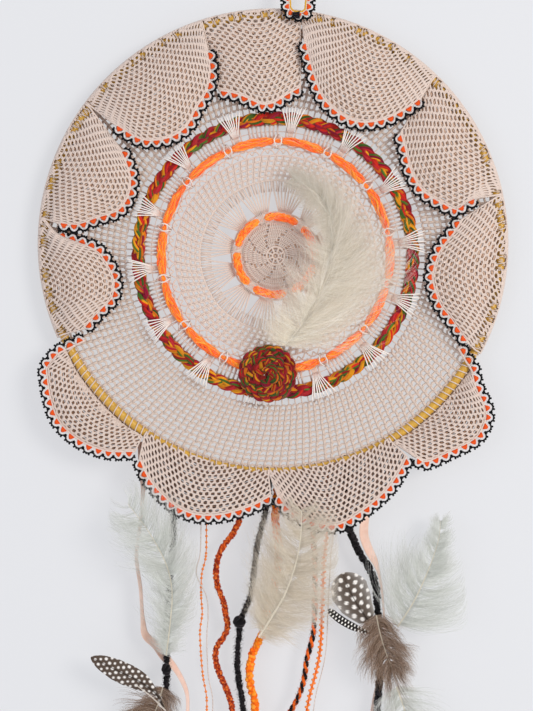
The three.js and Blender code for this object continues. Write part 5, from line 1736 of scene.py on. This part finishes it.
# ---------- Operators ----------
class PieceOperator:
    """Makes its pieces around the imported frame, and stops with an error if it can't."""
    bl_options = {"REGISTER", "UNDO"}

    def execute(self, context):
        before = len(bpy.data.objects)
        self.make()
        if len(bpy.data.objects) == before:
            raise RuntimeError(f"{self.bl_label}: nothing was made")
        return {"FINISHED"}


def lobes():
    """The eleven lobes, each with its edging."""
    for letter in LOBES:
        lobe_net(letter)
        edging(letter)


class CATCHER_OT_camera(PieceOperator, bpy.types.Operator):
    """Places the camera in front of the dream catcher"""
    bl_idname = "dream_catcher.camera"
    bl_label = "Camera"
    make = staticmethod(camera)


class CATCHER_OT_strands(PieceOperator, bpy.types.Operator):
    """Hangs the yarns, cords, strings and ribbons"""
    bl_idname = "dream_catcher.strands"
    bl_label = "Strands"
    make = staticmethod(strands)


class CATCHER_OT_hoop(PieceOperator, bpy.types.Operator):
    """Winds the ribbon round the hoop and lashes the lace to it"""
    bl_idname = "dream_catcher.hoop"
    bl_label = "Hoop"
    make = staticmethod(hoop)


class CATCHER_OT_doily(PieceOperator, bpy.types.Operator):
    """Crochets the ground that fills the hoop"""
    bl_idname = "dream_catcher.doily"
    bl_label = "Doily"
    make = staticmethod(doily)


class CATCHER_OT_rings(PieceOperator, bpy.types.Operator):
    """Threads the orange roving and the plait through the ground"""
    bl_idname = "dream_catcher.rings"
    bl_label = "Threaded rings"
    make = staticmethod(threaded_rings)


class CATCHER_OT_rosette(PieceOperator, bpy.types.Operator):
    """Coils the plaited rosette"""
    bl_idname = "dream_catcher.rosette"
    bl_label = "Rosette"
    make = staticmethod(rosette)


class CATCHER_OT_lobes(PieceOperator, bpy.types.Operator):
    """Crochets the eleven lobes and their picot edging"""
    bl_idname = "dream_catcher.lobes"
    bl_label = "Lobes"
    make = staticmethod(lobes)


class CATCHER_OT_loop(PieceOperator, bpy.types.Operator):
    """Crochets the hanging loop"""
    bl_idname = "dream_catcher.loop"
    bl_label = "Hanging loop"
    make = staticmethod(hanging_loop)


class CATCHER_OT_feather_centre(PieceOperator, bpy.types.Operator):
    """Sets the curled marabou feather on the doily"""
    bl_idname = "dream_catcher.feather_centre"
    bl_label = "Centre feather"
    make = staticmethod(feather_centre)


class CATCHER_OT_feathers_left(PieceOperator, bpy.types.Operator):
    """Ties the left tassel's feathers"""
    bl_idname = "dream_catcher.feathers_left"
    bl_label = "Left feathers"
    make = staticmethod(feathers_left)


class CATCHER_OT_feather_mid(PieceOperator, bpy.types.Operator):
    """Ties the middle tassel's feather"""
    bl_idname = "dream_catcher.feather_mid"
    bl_label = "Middle feather"
    make = staticmethod(feather_mid)


class CATCHER_OT_feathers_right(PieceOperator, bpy.types.Operator):
    """Ties the right tassel's feathers"""
    bl_idname = "dream_catcher.feathers_right"
    bl_label = "Right feathers"
    make = staticmethod(feathers_right)


class CATCHER_OT_stage(PieceOperator, bpy.types.Operator):
    """Sets the wall, the floor and the lights"""
    bl_idname = "dream_catcher.stage"
    bl_label = "Stage"
    make = staticmethod(stage)


OPERATORS = (
    CATCHER_OT_camera, CATCHER_OT_strands, CATCHER_OT_hoop, CATCHER_OT_doily, CATCHER_OT_rings,
    CATCHER_OT_rosette, CATCHER_OT_lobes, CATCHER_OT_loop, CATCHER_OT_feather_centre,
    CATCHER_OT_feathers_left, CATCHER_OT_feather_mid, CATCHER_OT_feathers_right, CATCHER_OT_stage,
)


class CATCHER_PT_sidebar(bpy.types.Panel):
    """Settings and pieces of the dream catcher"""
    bl_idname = "CATCHER_PT_sidebar"
    bl_label = "Dream Catcher"
    bl_space_type = "VIEW_3D"
    bl_region_type = "UI"
    bl_category = "Dream Catcher"

    def draw(self, context):
        for group in (context.scene.dream_catcher_sizes, context.scene.dream_catcher_colours):
            for key in group.bl_rna.properties.keys():
                if key not in {"rna_type", "name"}:
                    self.layout.prop(group, key)
        for operator in OPERATORS:
            self.layout.operator(operator.bl_idname)


CLASSES = (DreamCatcherSizes, DreamCatcherColours, *OPERATORS, CATCHER_PT_sidebar)


def register():
    for cls in CLASSES:
        bpy.utils.register_class(cls)
    bpy.types.Scene.dream_catcher_sizes = PointerProperty(type=DreamCatcherSizes)
    bpy.types.Scene.dream_catcher_colours = PointerProperty(type=DreamCatcherColours)


def unregister():
    del bpy.types.Scene.dream_catcher_colours
    del bpy.types.Scene.dream_catcher_sizes
    for cls in reversed(CLASSES):
        bpy.utils.unregister_class(cls)


def main():
    register()
    ready_lobes()
    for operator in OPERATORS:
        group, name = operator.bl_idname.split(".")
        result = getattr(getattr(bpy.ops, group), name)()
        if result != {"FINISHED"}:
            raise RuntimeError(f"{operator.bl_label} didn't finish")
    box = {"cad": [list(map(float, corner)) for corner in CAD_BOX],
           "visual": [list(map(float, corner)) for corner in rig.bounds()]}
    with open("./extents.json", "w") as out:
        json.dump(box, out)


if __name__ == "__main__":
    main()
